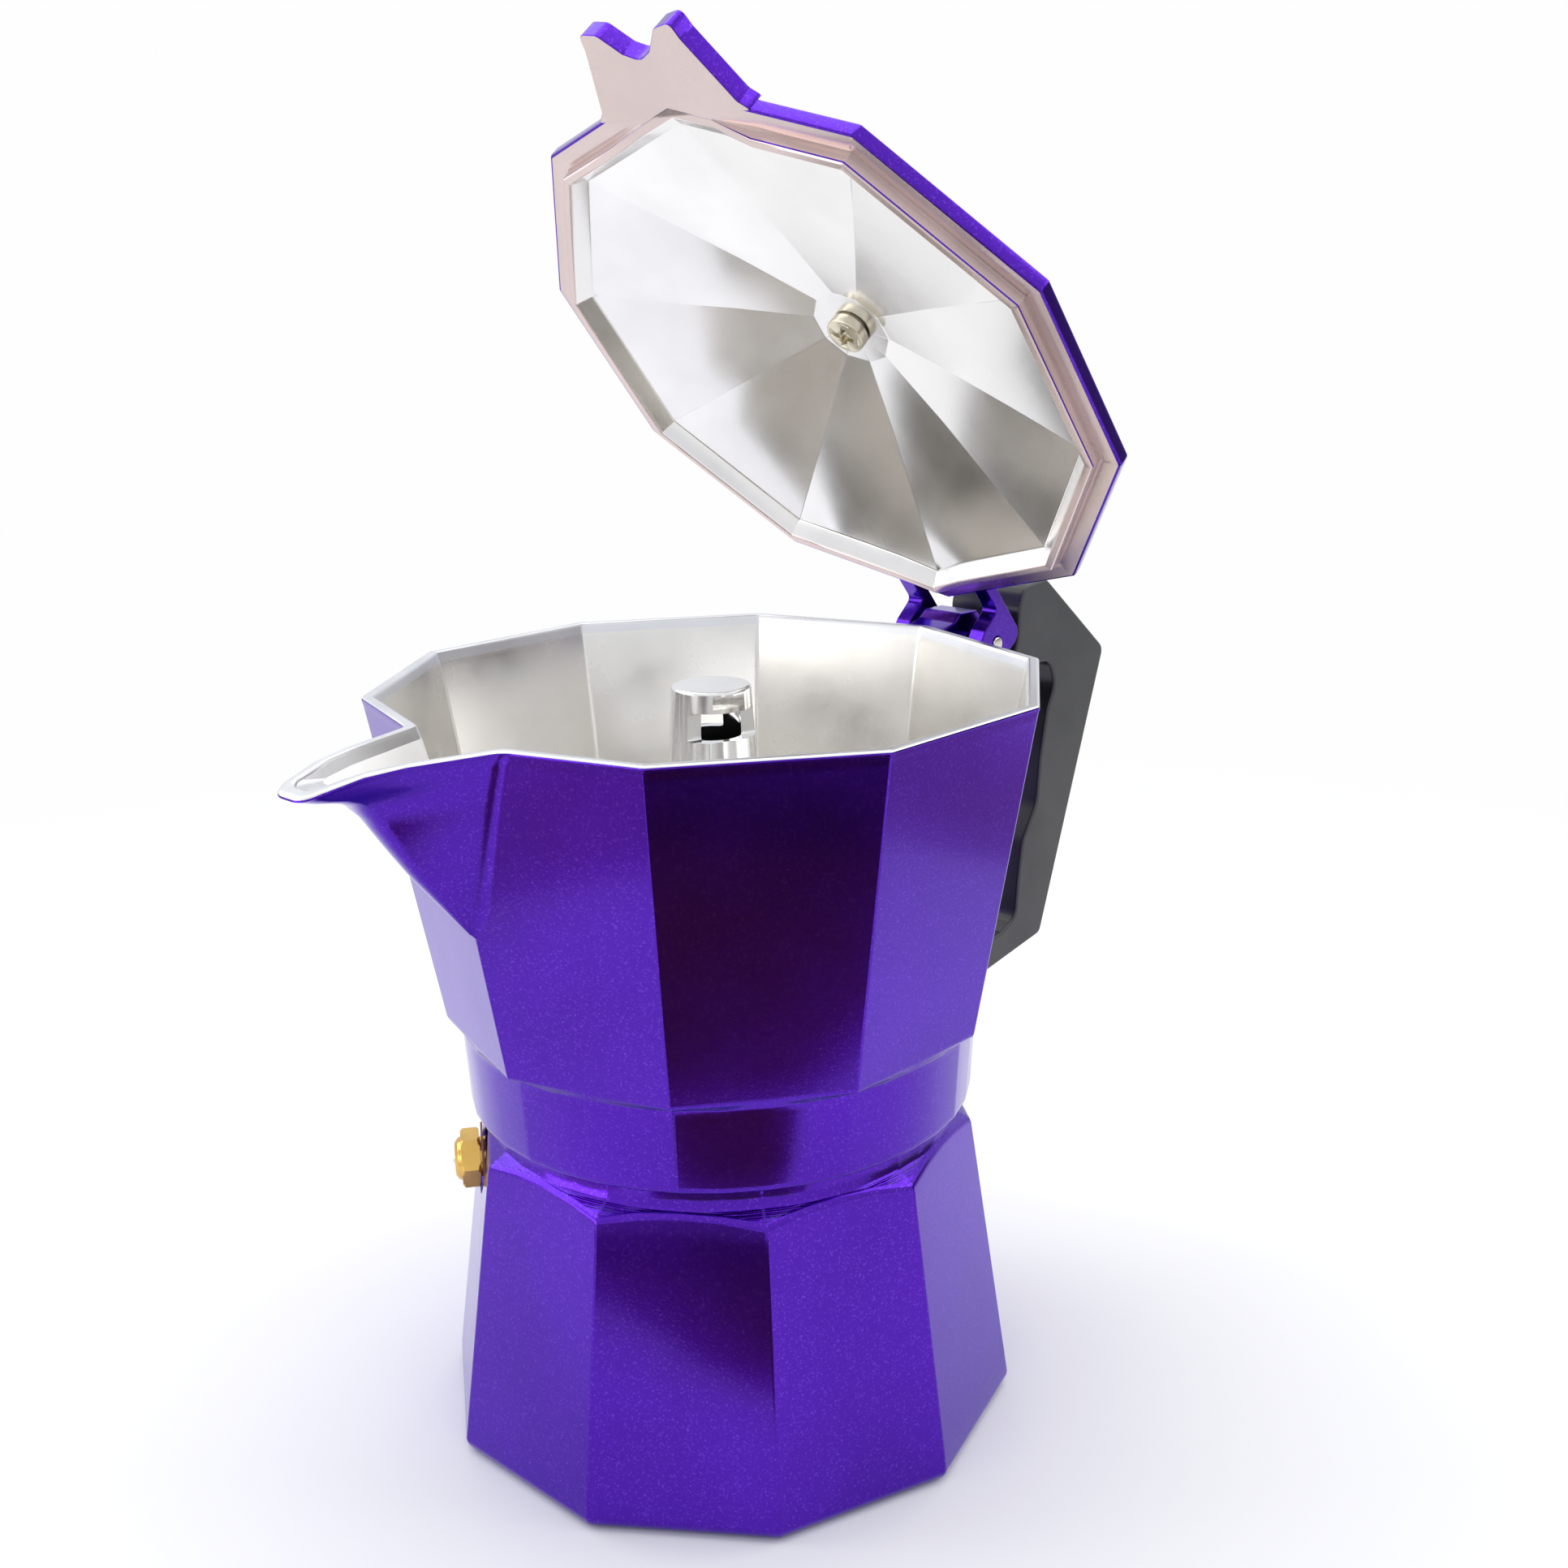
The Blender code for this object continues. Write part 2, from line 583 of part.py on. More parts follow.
def build_knob(plastic, brass, steel):
    place = lid_place()
    foot = CROWN_Z + CROWN_T + 0.3
    top = foot + KNOB_H
    rings = [(INSERT_R + 0.3, foot), sided(KNOB_FOOT_R, foot), sided(KNOB_FOOT_R, foot + 1.5)]
    rings += [sided(6.4, foot + 4.5), sided(6.8, foot + 8.0), sided(8.4, foot + 12.5)]
    rings += [sided(KNOB_TOP_R, top - 3.2), sided(KNOB_TOP_R, top - 2.2)]
    rings += [sided(KNOB_TOP_R - 1.4, top - 0.6), sided(6.0, top)]
    outer = rings[1:] + [(0, top)]
    inner = [(0, foot + 12.3), (INSERT_R + 0.3, foot + 12.3), (INSERT_R + 0.3, foot)]
    lathe("knob", inner + outer, plastic, False, place, 60)
    insert = [(SCREW_R + 0.3, foot + 0.3), (INSERT_R, foot + 0.3)]
    insert += [(INSERT_R, foot + 12.0), (SCREW_R + 0.3, foot + 12.0)]
    lathe("knob_insert", insert, brass, True, place, 32)
    under = CROWN_Z - 0.3
    rings = [(0, foot + 10.0), (SCREW_R - 0.4, foot + 10.0), (SCREW_R, foot + 9.6)]
    rings += [(SCREW_R, under), (SCREW_HEAD_R, under)]
    rings += [(SCREW_HEAD_R, under - 1.1), (SCREW_HEAD_R - 0.5, under - 1.7)]
    rings += [(SCREW_HEAD_R - 1.2, under - SCREW_HEAD_H), (0, under - SCREW_HEAD_H)]
    screw = lathe("knob_screw", rings, steel, False, place, 32)
    low = under - SCREW_HEAD_H - 0.5
    for k in range(2):
        outline = [(-0.4, low), (0.4, low), (0.25, under - 0.7), (-0.25, under - 0.7)]
        turn = Matrix.Rotation(math.radians(25 + 90 * k), 4, "Z")
        slot = prism("cut_cross_%d" % k, outline, 1.5, None, place @ turn)
        combine(screw, slot, "DIFFERENCE")


def build_handle(plastic, steel):
    outer = [(50.4, 106.4), (60.8, 106.6), (63.6, 107.9), (66.2, 110.8), (67.1, 114.0)]
    outer += [(67.3, 119.0), (68.4, 121.9), (70.6, 123.1), (75.2, 123.2), (76.8, 122.6)]
    outer += [(92.5, 109.0), (93.3, 107.6), (93.2, 106.2), (75.7, 59.3), (74.0, 57.5)]
    outer += [(60.0, 55.0), (52.0, 53.6), (50.4, 54.4), (50.2, 58.8), (51.4, 60.2)]
    inner = [(63.2, 60.9), (66.0, 61.7), (67.6, 63.6), (68.3, 66.8), (68.6, 70.5), (69.1, 74.2)]
    inner += [(70.4, 78.2), (72.2, 81.2), (73.7, 83.8), (74.3, 87.0), (74.6, 92.0)]
    inner += [(75.5, 96.8), (77.2, 100.9), (78.0, 103.6), (77.6, 106.6), (76.0, 108.4)]
    inner += [(73.0, 108.6), (69.6, 106.6), (66.4, 103.0), (63.4, 99.0), (60.0, 96.4)]
    inner += [(56.0, 95.6), (48.9, 95.6)]
    handle = prism("handle", outer + inner, HANDLE_HALF, plastic)
    bevel = handle.modifiers.new("edges", "BEVEL")
    bevel.width = 0.9 * MM
    bevel.segments = 2
    bevel.limit_method = "ANGLE"
    bevel.angle_limit = math.radians(60)
    slot = [(40, 96.9), (62.8, 96.9), (62.8, 105.9), (40, 105.9)]
    combine(handle, prism("cut_slot", slot, TANG_HALF + 0.3), "DIFFERENCE")
    hole = rod("cut_handle_hole", 1.5, -10, 10, None, along_y(*TANG_PIN), 24)
    combine(handle, hole, "DIFFERENCE")
    rod("handle_pin", 1.2, -7.2, 7.2, steel, along_y(*TANG_PIN), 24, 0.2)
    rod("hinge_pin", PIN_R, -9.9, 9.9, steel, along_y(HINGE_X, HINGE_Z), 24, 0.2)


def hang_on(parent, names):
    """Keeps each named object where it is and makes it move with parent."""
    bpy.context.view_layer.update()
    for name in names:
        obj = bpy.data.objects[name]
        world = obj.matrix_world.copy()
        obj.parent = parent
        obj.matrix_parent_inverse = parent.matrix_world.inverted()
        obj.matrix_world = world


def joint_empty(name, place):
    empty = bpy.data.objects.new(name, None)
    bpy.context.scene.collection.objects.link(empty)
    empty.matrix_world = place
    return empty


def main():
    clear_scene()
    paint = material("purple_lacquer", (0.16, 0.03, 0.62), 0.32, 0.7)
    boiler_paint = material("purple_lacquer_boiler", (0.16, 0.03, 0.62), 0.32, 0.7)
    lid_paint = material("purple_lacquer_lid", (0.16, 0.03, 0.62), 0.32, 0.7)
    alloy = material("bare_aluminium", (0.80, 0.80, 0.80), 0.28, 1.0)
    brass = material("brass", (0.78, 0.55, 0.22), 0.28, 1.0)
    steel = material("nickel_steel", (0.72, 0.70, 0.66), 0.22, 1.0)
    plastic = material("charcoal_plastic", (0.045, 0.047, 0.052), 0.42, 0.0)
    rubber = material("gasket_rubber", (0.82, 0.80, 0.74), 0.7, 0.0)
    fibre = material("washer_fibre", (0.35, 0.16, 0.10), 0.8, 0.0)

    build_boiler(boiler_paint)
    build_valve(brass, fibre, steel)
    build_funnel(alloy)
    build_gasket(rubber, alloy)
    build_collector(paint)
    build_column(alloy)
    build_lid(lid_paint)
    build_knob(plastic, brass, steel)
    build_handle(plastic, steel)

    rising = joint_empty("joint_collector", Matrix.Identity(4))
    opening = joint_empty("joint_lid", hinge_frame(LID_OPEN))
    relief = joint_empty("joint_valve", facing(VALVE_TURN, VALVE_Z))
    hang_on(opening, ("lid_shell", "knob", "knob_insert", "knob_screw"))
    hang_on(relief, ("valve_plunger",))
    with_collector = ("collector_body", "riser_column", "gasket", "filter_plate", "handle")
    hang_on(rising, with_collector + ("handle_pin", "hinge_pin", "joint_lid"))


main()
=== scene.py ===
"""Looks for the moka pot: violet lacquer, bare aluminium, brass valve, plastic handle and a studio."""

import json
import math

import bmesh
import bpy
from mathutils import Matrix, Vector


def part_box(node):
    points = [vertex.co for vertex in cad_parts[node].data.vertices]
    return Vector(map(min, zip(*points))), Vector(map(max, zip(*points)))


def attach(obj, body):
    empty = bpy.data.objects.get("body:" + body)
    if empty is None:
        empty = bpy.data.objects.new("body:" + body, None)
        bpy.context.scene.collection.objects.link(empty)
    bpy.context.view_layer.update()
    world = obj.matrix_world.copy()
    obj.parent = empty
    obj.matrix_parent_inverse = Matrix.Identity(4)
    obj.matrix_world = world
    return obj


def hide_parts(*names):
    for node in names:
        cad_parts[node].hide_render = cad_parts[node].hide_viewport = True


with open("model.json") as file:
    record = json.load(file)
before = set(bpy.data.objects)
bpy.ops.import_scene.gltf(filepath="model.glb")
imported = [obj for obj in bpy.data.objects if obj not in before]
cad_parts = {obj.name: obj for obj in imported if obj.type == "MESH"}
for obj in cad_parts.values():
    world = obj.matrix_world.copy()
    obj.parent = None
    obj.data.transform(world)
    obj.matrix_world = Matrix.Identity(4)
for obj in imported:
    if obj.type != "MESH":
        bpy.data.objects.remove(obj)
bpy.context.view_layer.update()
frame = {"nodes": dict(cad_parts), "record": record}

MM = 0.001
SIDES = 10
ARC_STEPS = 6
EDGE_STEPS = 4
SMOOTH_BELOW = math.radians(38)
SLAB_SMOOTH_BELOW = math.radians(50)
PIN_R = 1.2
PIN_HOLE_R = 1.5
JOINTS = {joint["name"]: joint for joint in frame["record"]["behaviour"]["joints"]}


def box_mm(node):
    low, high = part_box(node)
    return low / MM, high / MM


JUG_LOW, JUG_HIGH = box_mm("collector_body")
HINGE = Vector(JOINTS["lid_hinge"]["pos_m"]) / MM
LID_OPEN = -JOINTS["lid_hinge"]["range_deg"][0]
VALVE_AXIS = Vector(JOINTS["valve_relief"]["axis"])
RIM_Z = JUG_HIGH.z
COLLAR_Z = JUG_LOW.z


# ---------------------------------------------------------------- meshes


def table(rows, x):
    """Straight-line reading of (x, value) pairs."""
    for (x0, v0), (x1, v1) in zip(rows, rows[1:]):
        if x <= x1:
            t = max(0.0, (x - x0) / (x1 - x0))
            return v0 + (v1 - v0) * t
    return rows[-1][1]


def ease(x, start, end):
    t = min(1.0, max(0.0, (x - start) / (end - start)))
    return t * t * (3 - 2 * t)


def rounded(corners, radii, arc_steps=ARC_STEPS, edge_steps=EDGE_STEPS, closed=True):
    """Outline with each corner rounded. As many corners always give as many points."""
    points = [Vector(c) for c in corners]
    count = len(points)
    arcs = []
    for i, here in enumerate(points):
        if not closed and i in (0, count - 1):
            arcs.append([here])
            continue
        back = points[i - 1] - here
        ahead = points[(i + 1) % count] - here
        cosine = back.dot(ahead) / max(1e-9, back.length * ahead.length)
        half = math.acos(min(1.0, max(-1.0, cosine))) / 2
        cut = min(radii[i] / max(1e-6, math.tan(half)), 0.45 * back.length, 0.45 * ahead.length)
        start = here + back.normalized() * cut
        end = here + ahead.normalized() * cut
        arc = []
        for k in range(arc_steps + 1):
            t = k / arc_steps
            arc.append(start * (1 - t) ** 2 + here * 2 * t * (1 - t) + end * t * t)
        arcs.append(arc)
    outline = []
    for i, arc in enumerate(arcs):
        outline += arc
        if not closed and i == count - 1:
            break
        target = arcs[(i + 1) % count][0]
        for k in range(1, edge_steps):
            outline.append(arc[-1].lerp(target, k / edge_steps))
    return outline


def thinned(points, closed=True):
    """Drops each point that lies on the one before it."""
    kept = [p for i, p in enumerate(points) if i == 0 or (p - points[i - 1]).length > 1e-4]
    if closed and (kept[0] - kept[-1]).length < 1e-4:
        kept.pop()
    return kept


def decagon(r, turn=0.0, corner=0.8):
    step = 2 * math.pi / SIDES
    angles = [math.radians(turn) + step * k for k in range(SIDES)]
    corners = [(r * math.cos(a), r * math.sin(a)) for a in angles]
    return rounded(corners, [corner] * SIDES)


def blend_round(outline, r, roundness):
    """Moves an outline towards the circle of this radius."""
    return [p.lerp(p.normalized() * r, roundness) for p in outline]


def ring(outline, z):
    return [Vector((p.x, p.y, z)) for p in outline]


def new_object(name, verts, faces, finishes, materials, place=None):
    mesh = bpy.data.meshes.new(name)
    mesh.from_pydata([tuple(v * MM) for v in verts], [], faces)
    work = bmesh.new()
    work.from_mesh(mesh)
    bmesh.ops.recalc_face_normals(work, faces=work.faces)
    work.to_mesh(mesh)
    work.free()
    mesh.polygons.foreach_set("material_index", finishes)
    for mat in materials:
        mesh.materials.append(mat)
    mesh.shade_smooth()
    mesh.set_sharp_from_angle(angle=SMOOTH_BELOW)
    obj = bpy.data.objects.new(name, mesh)
    bpy.context.scene.collection.objects.link(obj)
    if place is not None:
        obj.data.transform(place)
    return obj


def keep_flats(obj):
    """Keeps flat facets flat beside their rounded edges."""
    mod = obj.modifiers.new("flats", "WEIGHTED_NORMAL")
    mod.keep_sharp = True
    mod.weight = 80
    return obj


def loft(name, rings, finishes, materials, closed=False, place=None):
    """Joins rings of equal point count. A ring of one point is a pole.

    finishes gives the material index of each band between two rings.
    """
    verts = []
    rows = []
    for points in rings:
        rows.append(list(range(len(verts), len(verts) + len(points))))
        verts += points
    count = max(len(row) for row in rows)
    pairs = list(zip(rows, rows[1:]))
    if closed:
        pairs.append((rows[-1], rows[0]))
    faces = []
    bands = []
    for (low, high), finish in zip(pairs, finishes):
        for i in range(count):
            j = (i + 1) % count
            if len(low) == 1:
                faces.append((low[0], high[j], high[i]))
            elif len(high) == 1:
                faces.append((low[i], low[j], high[0]))
            else:
                faces.append((low[i], low[j], high[j], high[i]))
            bands.append(finish)
    return keep_flats(new_object(name, verts, faces, bands, materials, place))


def turned(name, profile, radii, mat, place=None, seg=96, closed=False, shape=None, steps=4):
    """A lathed piece from an (r, z) profile with rounded corners."""
    path = thinned(rounded(profile, radii, steps, 1, closed), closed)
    rings = []
    for p in path:
        if p.x < 1e-6:
            rings.append([Vector((0, 0, p.y))])
            continue
        row = []
        for i in range(seg):
            a = 2 * math.pi * i / seg
            r = p.x * (shape(a, p) if shape else 1.0)
            row.append(Vector((r * math.cos(a), r * math.sin(a), p.y)))
        rings.append(row)
    finishes = [0] * (len(rings) + 1)
    return loft(name, rings, finishes, [mat], closed, place)


def slab(name, outline, low, high, mat, place=None, edge=0.5, steps=3, under=None):
    """A flat piece cut to an XY outline, its rim edges rounded. under is the underside's material."""
    work = bmesh.new()
    verts = [work.verts.new((p.x * MM, p.y * MM, low * MM)) for p in thinned(outline)]
    face = work.faces.new(verts)
    grown = bmesh.ops.extrude_face_region(work, geom=[face])
    top = [v for v in grown["geom"] if isinstance(v, bmesh.types.BMVert)]
    bmesh.ops.translate(work, verts=top, vec=(0, 0, (high - low) * MM))
    bmesh.ops.recalc_face_normals(work, faces=work.faces)
    rims = []
    for e in work.edges:
        if abs(e.verts[0].co.z - e.verts[1].co.z) < 1e-7:
            rims.append(e)
    bmesh.ops.bevel(work, geom=rims, offset=edge * MM, segments=steps, profile=0.5,
                    affect="EDGES", clamp_overlap=True)
    mesh = bpy.data.meshes.new(name)
    work.to_mesh(mesh)
    work.free()
    mesh.materials.append(mat)
    if under is not None:
        mesh.materials.append(under)
        for poly in mesh.polygons:
            if poly.normal.z < -0.9:
                poly.material_index = 1
    mesh.shade_smooth()
    mesh.set_sharp_from_angle(angle=SLAB_SMOOTH_BELOW)
    obj = bpy.data.objects.new(name, mesh)
    bpy.context.scene.collection.objects.link(obj)
    if place is not None:
        mesh.transform(place)
    return keep_flats(obj)


def cut(obj, other):
    """Cuts other out of obj for good, and removes other."""
    mod = obj.modifiers.new("cut", "BOOLEAN")
    mod.operation = "DIFFERENCE"
    mod.solver = "EXACT"
    mod.object = other
    obj.modifiers.move(len(obj.modifiers) - 1, 0)
    bpy.context.view_layer.update()
    graph = bpy.context.evaluated_depsgraph_get()
    other.hide_render = True
    for extra in obj.modifiers:
        extra.show_viewport = extra == mod
    graph.update()
    mesh = bpy.data.meshes.new_from_object(obj.evaluated_get(graph))
    obj.modifiers.remove(mod)
    for extra in obj.modifiers:
        extra.show_viewport = True
    obj.data = mesh
    bpy.data.objects.remove(other)
    return obj


def shift(x, y, z):
    return Matrix.Translation(Vector((x, y, z)) * MM)


def turn(angle, axis):
    return Matrix.Rotation(math.radians(angle), 4, axis)


STAND = turn(90, "X")
"""Stands an XY outline up in the XZ plane, its thickness along -Y."""


# ---------------------------------------------------------------- materials


class Shader:
    """Small helper around one Principled material."""

    def __init__(self, name, colour, metallic, roughness, **constants):
        self.mat = bpy.data.materials.new(name)
        self.mat.use_nodes = True
        self.nodes = self.mat.node_tree.nodes
        self.links = self.mat.node_tree.links
        self.main = self.nodes["Principled BSDF"]
        self.main.inputs["Base Color"].default_value = (*colour, 1)
        self.main.inputs["Metallic"].default_value = metallic
        self.main.inputs["Roughness"].default_value = roughness
        for socket, value in constants.items():
            self.main.inputs[socket.replace("_", " ")].default_value = value
        self.coords = self.nodes.new("ShaderNodeTexCoord").outputs["Object"]
        self.normal = None

    def stretched(self, scale):
        mapping = self.nodes.new("ShaderNodeMapping")
        mapping.inputs["Scale"].default_value = scale
        self.links.new(self.coords, mapping.inputs["Vector"])
        return mapping.outputs["Vector"]

    def noise(self, scale, detail=2.0, stretch=None):
        node = self.nodes.new("ShaderNodeTexNoise")
        node.inputs["Scale"].default_value = scale
        node.inputs["Detail"].default_value = detail
        source = self.stretched(stretch) if stretch else self.coords
        self.links.new(source, node.inputs["Vector"])
        return node.outputs["Fac"]

    def cells(self, scale):
        node = self.nodes.new("ShaderNodeTexVoronoi")
        node.inputs["Scale"].default_value = scale
        self.links.new(self.coords, node.inputs["Vector"])
        return node.outputs["Color"]

    def ramp(self, value, low, high, colours):
        node = self.nodes.new("ShaderNodeValToRGB")
        node.color_ramp.elements[0].position = low
        node.color_ramp.elements[1].position = high
        node.color_ramp.elements[0].color = (*colours[0], 1)
        node.color_ramp.elements[1].color = (*colours[1], 1)
        self.links.new(value, node.inputs["Fac"])
        return node.outputs["Color"]

    def span(self, value, low, high, to_low, to_high):
        node = self.nodes.new("ShaderNodeMapRange")
        for socket, number in zip(("From Min", "From Max", "To Min", "To Max"),
                                  (low, high, to_low, to_high)):
            node.inputs[socket].default_value = number
        self.links.new(value, node.inputs["Value"])
        return node.outputs["Result"]

    def maths(self, operation, first, second):
        node = self.nodes.new("ShaderNodeMath")
        node.operation = operation
        for socket, value in zip(node.inputs, (first, second)):
            if isinstance(value, (int, float)):
                socket.default_value = value
            else:
                self.links.new(value, socket)
        return node.outputs[0]

    def mixed(self, factor, first, second, blend="MIX"):
        node = self.nodes.new("ShaderNodeMix")
        node.data_type = "RGBA"
        node.blend_type = blend
        for socket, value in ((0, factor), (6, first), (7, second)):
            if isinstance(value, (int, float)):
                node.inputs[socket].default_value = value
            elif isinstance(value, tuple):
                node.inputs[socket].default_value = (*value, 1)
            else:
                self.links.new(value, node.inputs[socket])
        return node.outputs[2]

    def bump(self, height, strength, distance):
        node = self.nodes.new("ShaderNodeBump")
        node.inputs["Strength"].default_value = strength
        node.inputs["Distance"].default_value = distance * MM
        self.links.new(height, node.inputs["Height"])
        if self.normal is not None:
            self.links.new(self.normal, node.inputs["Normal"])
        self.normal = node.outputs["Normal"]

    def rings(self, pitch):
        """Concentric turning marks about the pot's axis, one every pitch millimetres."""
        parts = self.nodes.new("ShaderNodeSeparateXYZ")
        self.links.new(self.coords, parts.inputs["Vector"])
        x, y = parts.outputs["X"], parts.outputs["Y"]
        squared = self.maths("ADD", self.maths("MULTIPLY", x, x), self.maths("MULTIPLY", y, y))
        radius = self.maths("SQRT", squared, 0.0)
        line = self.nodes.new("ShaderNodeTexNoise")
        line.noise_dimensions = "1D"
        line.inputs["Scale"].default_value = 1.0
        line.inputs["Detail"].default_value = 2.0
        self.links.new(self.maths("MULTIPLY", radius, 1 / (pitch * MM)), line.inputs["W"])
        return line.outputs["Fac"]

    def set(self, colour=None, roughness=None):
        if colour is not None:
            self.links.new(colour, self.main.inputs["Base Color"])
        if roughness is not None:
            self.links.new(roughness, self.main.inputs["Roughness"])
        if self.normal is not None:
            self.links.new(self.normal, self.main.inputs["Normal"])
        return self.mat


def lacquer(name, marks=False):
    """Violet metallic lacquer: flake sparkle, orange peel and a clear coat."""
    s = Shader(name, (0.08, 0.007, 0.46), 1.0, 0.22, Coat_Weight=0.3, Coat_Roughness=0.1)
    drift = s.noise(28, 3)
    flake = s.cells(4200)
    base = s.ramp(drift, 0.3, 0.7, ((0.066, 0.005, 0.37), (0.086, 0.008, 0.47)))
    bright = s.ramp(flake, 0.7, 0.98, ((0.0, 0.0, 0.0), (0.075, 0.03, 0.19)))
    colour = s.mixed(1.0, base, bright, "ADD")
    s.bump(s.noise(500, 2), 0.12, 0.03)
    s.bump(s.noise(3000, 1), 0.42, 0.010)
    if marks:
        s.bump(s.rings(0.8), 1.0, 0.2)
    return s.set(colour, s.span(s.noise(90, 3), 0.3, 0.7, 0.18, 0.22))


def cast_aluminium(name, tint, rough, pits, waves=0.05, metal=1.0):
    """Bare aluminium with a die-cast skin: soft waves, fine pits and faint drag marks."""
    s = Shader(name, tint, metal, 0.26)
    cloud = s.noise(60, 4)
    shade = tuple(0.86 * c for c in tint)
    colour = s.ramp(cloud, 0.3, 0.7, (shade, tint))
    s.bump(s.noise(45, 2), 0.5, waves)
    s.bump(s.noise(1600, 2), pits, 0.006)
    s.bump(s.noise(700, 2, (1.0, 1.0, 0.06)), 0.25, 0.010)
    return s.set(colour, s.span(cloud, 0.3, 0.7, *rough))


def polished(name, colour, rough=(0.12, 0.24), speck=900):
    s = Shader(name, colour, 1.0, 0.18)
    cloud = s.noise(220, 4)
    shade = tuple(0.82 * c for c in colour)
    s.bump(s.noise(speck, 3), 0.16, 0.012)
    return s.set(s.ramp(cloud, 0.3, 0.7, (shade, colour)), s.span(cloud, 0.3, 0.7, *rough))


def moulded(name, colour, lighter, rough, grain=2600, depth=0.03):
    s = Shader(name, colour, 0.0, rough)
    s.bump(s.noise(grain, 2), 0.55, depth)
    wear = s.noise(45, 4)
    return s.set(s.ramp(wear, 0.35, 0.75, (colour, lighter)),
                 s.span(s.noise(160, 3), 0.3, 0.7, rough - 0.05, rough + 0.07))


LACQUER = lacquer("violet_lacquer")
LACQUER_TURNED = lacquer("violet_lacquer_turned", True)
INSIDE = cast_aluminium("jug_inside_aluminium", (0.88, 0.86, 0.83), (0.15, 0.3), 0.3, 0.35)
# Near-white and barely metallic: a painted highlight for the spout's channel, not the bare metal's own look.
SPOUT_PAINTED_HIGHLIGHT = cast_aluminium("spout_aluminium_painted_highlight", (0.98, 0.97, 0.96), (0.3, 0.42), 0.1, 0.05, 0.15)
RIM_METAL = cast_aluminium("rim_aluminium", (0.84, 0.85, 0.88), (0.25, 0.35), 0.2)
LID_POCKET = cast_aluminium("lid_pocket_aluminium", (0.90, 0.885, 0.88), (0.14, 0.2), 0.15)
# Flange aluminium tinted pink and darker: the tint is a painted reflection of the violet jug, not the
# metal's own colour.
LID_FLANGE_REFLECTION_TINT = cast_aluminium("lid_flange_aluminium_painted_reflection", (0.72, 0.60, 0.585), (0.24, 0.34), 0.3)
COLUMN_METAL = cast_aluminium("column_aluminium", (0.90, 0.90, 0.90), (0.1, 0.18), 0.2)
SHEET_METAL = polished("spun_aluminium", (0.84, 0.84, 0.85), (0.2, 0.34), 500)
STEEL = polished("nickel_steel", (0.80, 0.77, 0.72))
SCREW_METAL = polished("nickel_warm", (0.80, 0.74, 0.60), (0.2, 0.32))
BRASS = polished("brass_polished", (0.80, 0.50, 0.14), (0.14, 0.3))
PLASTIC = moulded("charcoal_plastic_grained", (0.035, 0.036, 0.041), (0.052, 0.053, 0.058), 0.42)
# Smoother than the grained plastic, and far darker: the darkness is painted shade for the grip's side that
# faces the jug.
PLASTIC_SMOOTH_SHADED = moulded("charcoal_plastic_smooth_painted_shade", (0.010, 0.010, 0.013), (0.014, 0.014, 0.018),
                         0.3, 2600, 0.006)
RUBBER = moulded("silicone_gasket", (0.72, 0.70, 0.64), (0.80, 0.78, 0.72), 0.62, 900, 0.05)
FIBRE = moulded("pressed_fibre", (0.25, 0.10, 0.06), (0.40, 0.19, 0.12), 0.8, 1800, 0.08)


# ---------------------------------------------------------------- jug

RIM_R = 51.4
FOOT_R, FOOT_Z = 42.2, 66.3
JUG_WALL = 1.8
COLLAR_R = 40.15
OUTSIDE, RIM, INNER, CHANNEL_HIGHLIGHT_FACE = range(4)
CHANNEL_MARGIN = 0.12
SPOUT_Z = 89.0
KEEL = ((89.2, -46.6), (95, -51.4), (100, -55.6), (105, -59.4), (109, -62.4), (111.6, -65.2),
        (112.7, -68.2), (113.6, -70.9), (114.6, -72.8), (116.0, -73.7))
CHANNEL = ((96, -49.4), (100, -53.0), (105, -56.8), (109, -59.9), (112, -62.7), (113.6, -65.6),
           (114.6, -68.4), (115.4, -71.2), (116.2, -72.2))
NOSE_W = ((89, 0.12), (95, 0.9), (110, 2.2), (116, 3.5))
CHANNEL_W = ((96, 0.4), (110, 1.2), (116, 2.4))
LIP_X, LIP_RUN, LIP_DROP = -60.0, 13.7, 2.5


def jug_r(z):
    return FOOT_R + (RIM_R - FOOT_R) / (RIM_Z - FOOT_Z) * (z - FOOT_Z)


def lip_share(z):
    return min(1.0, max(0.0, (z - 88.0) / (RIM_Z - 88.0))) ** 3


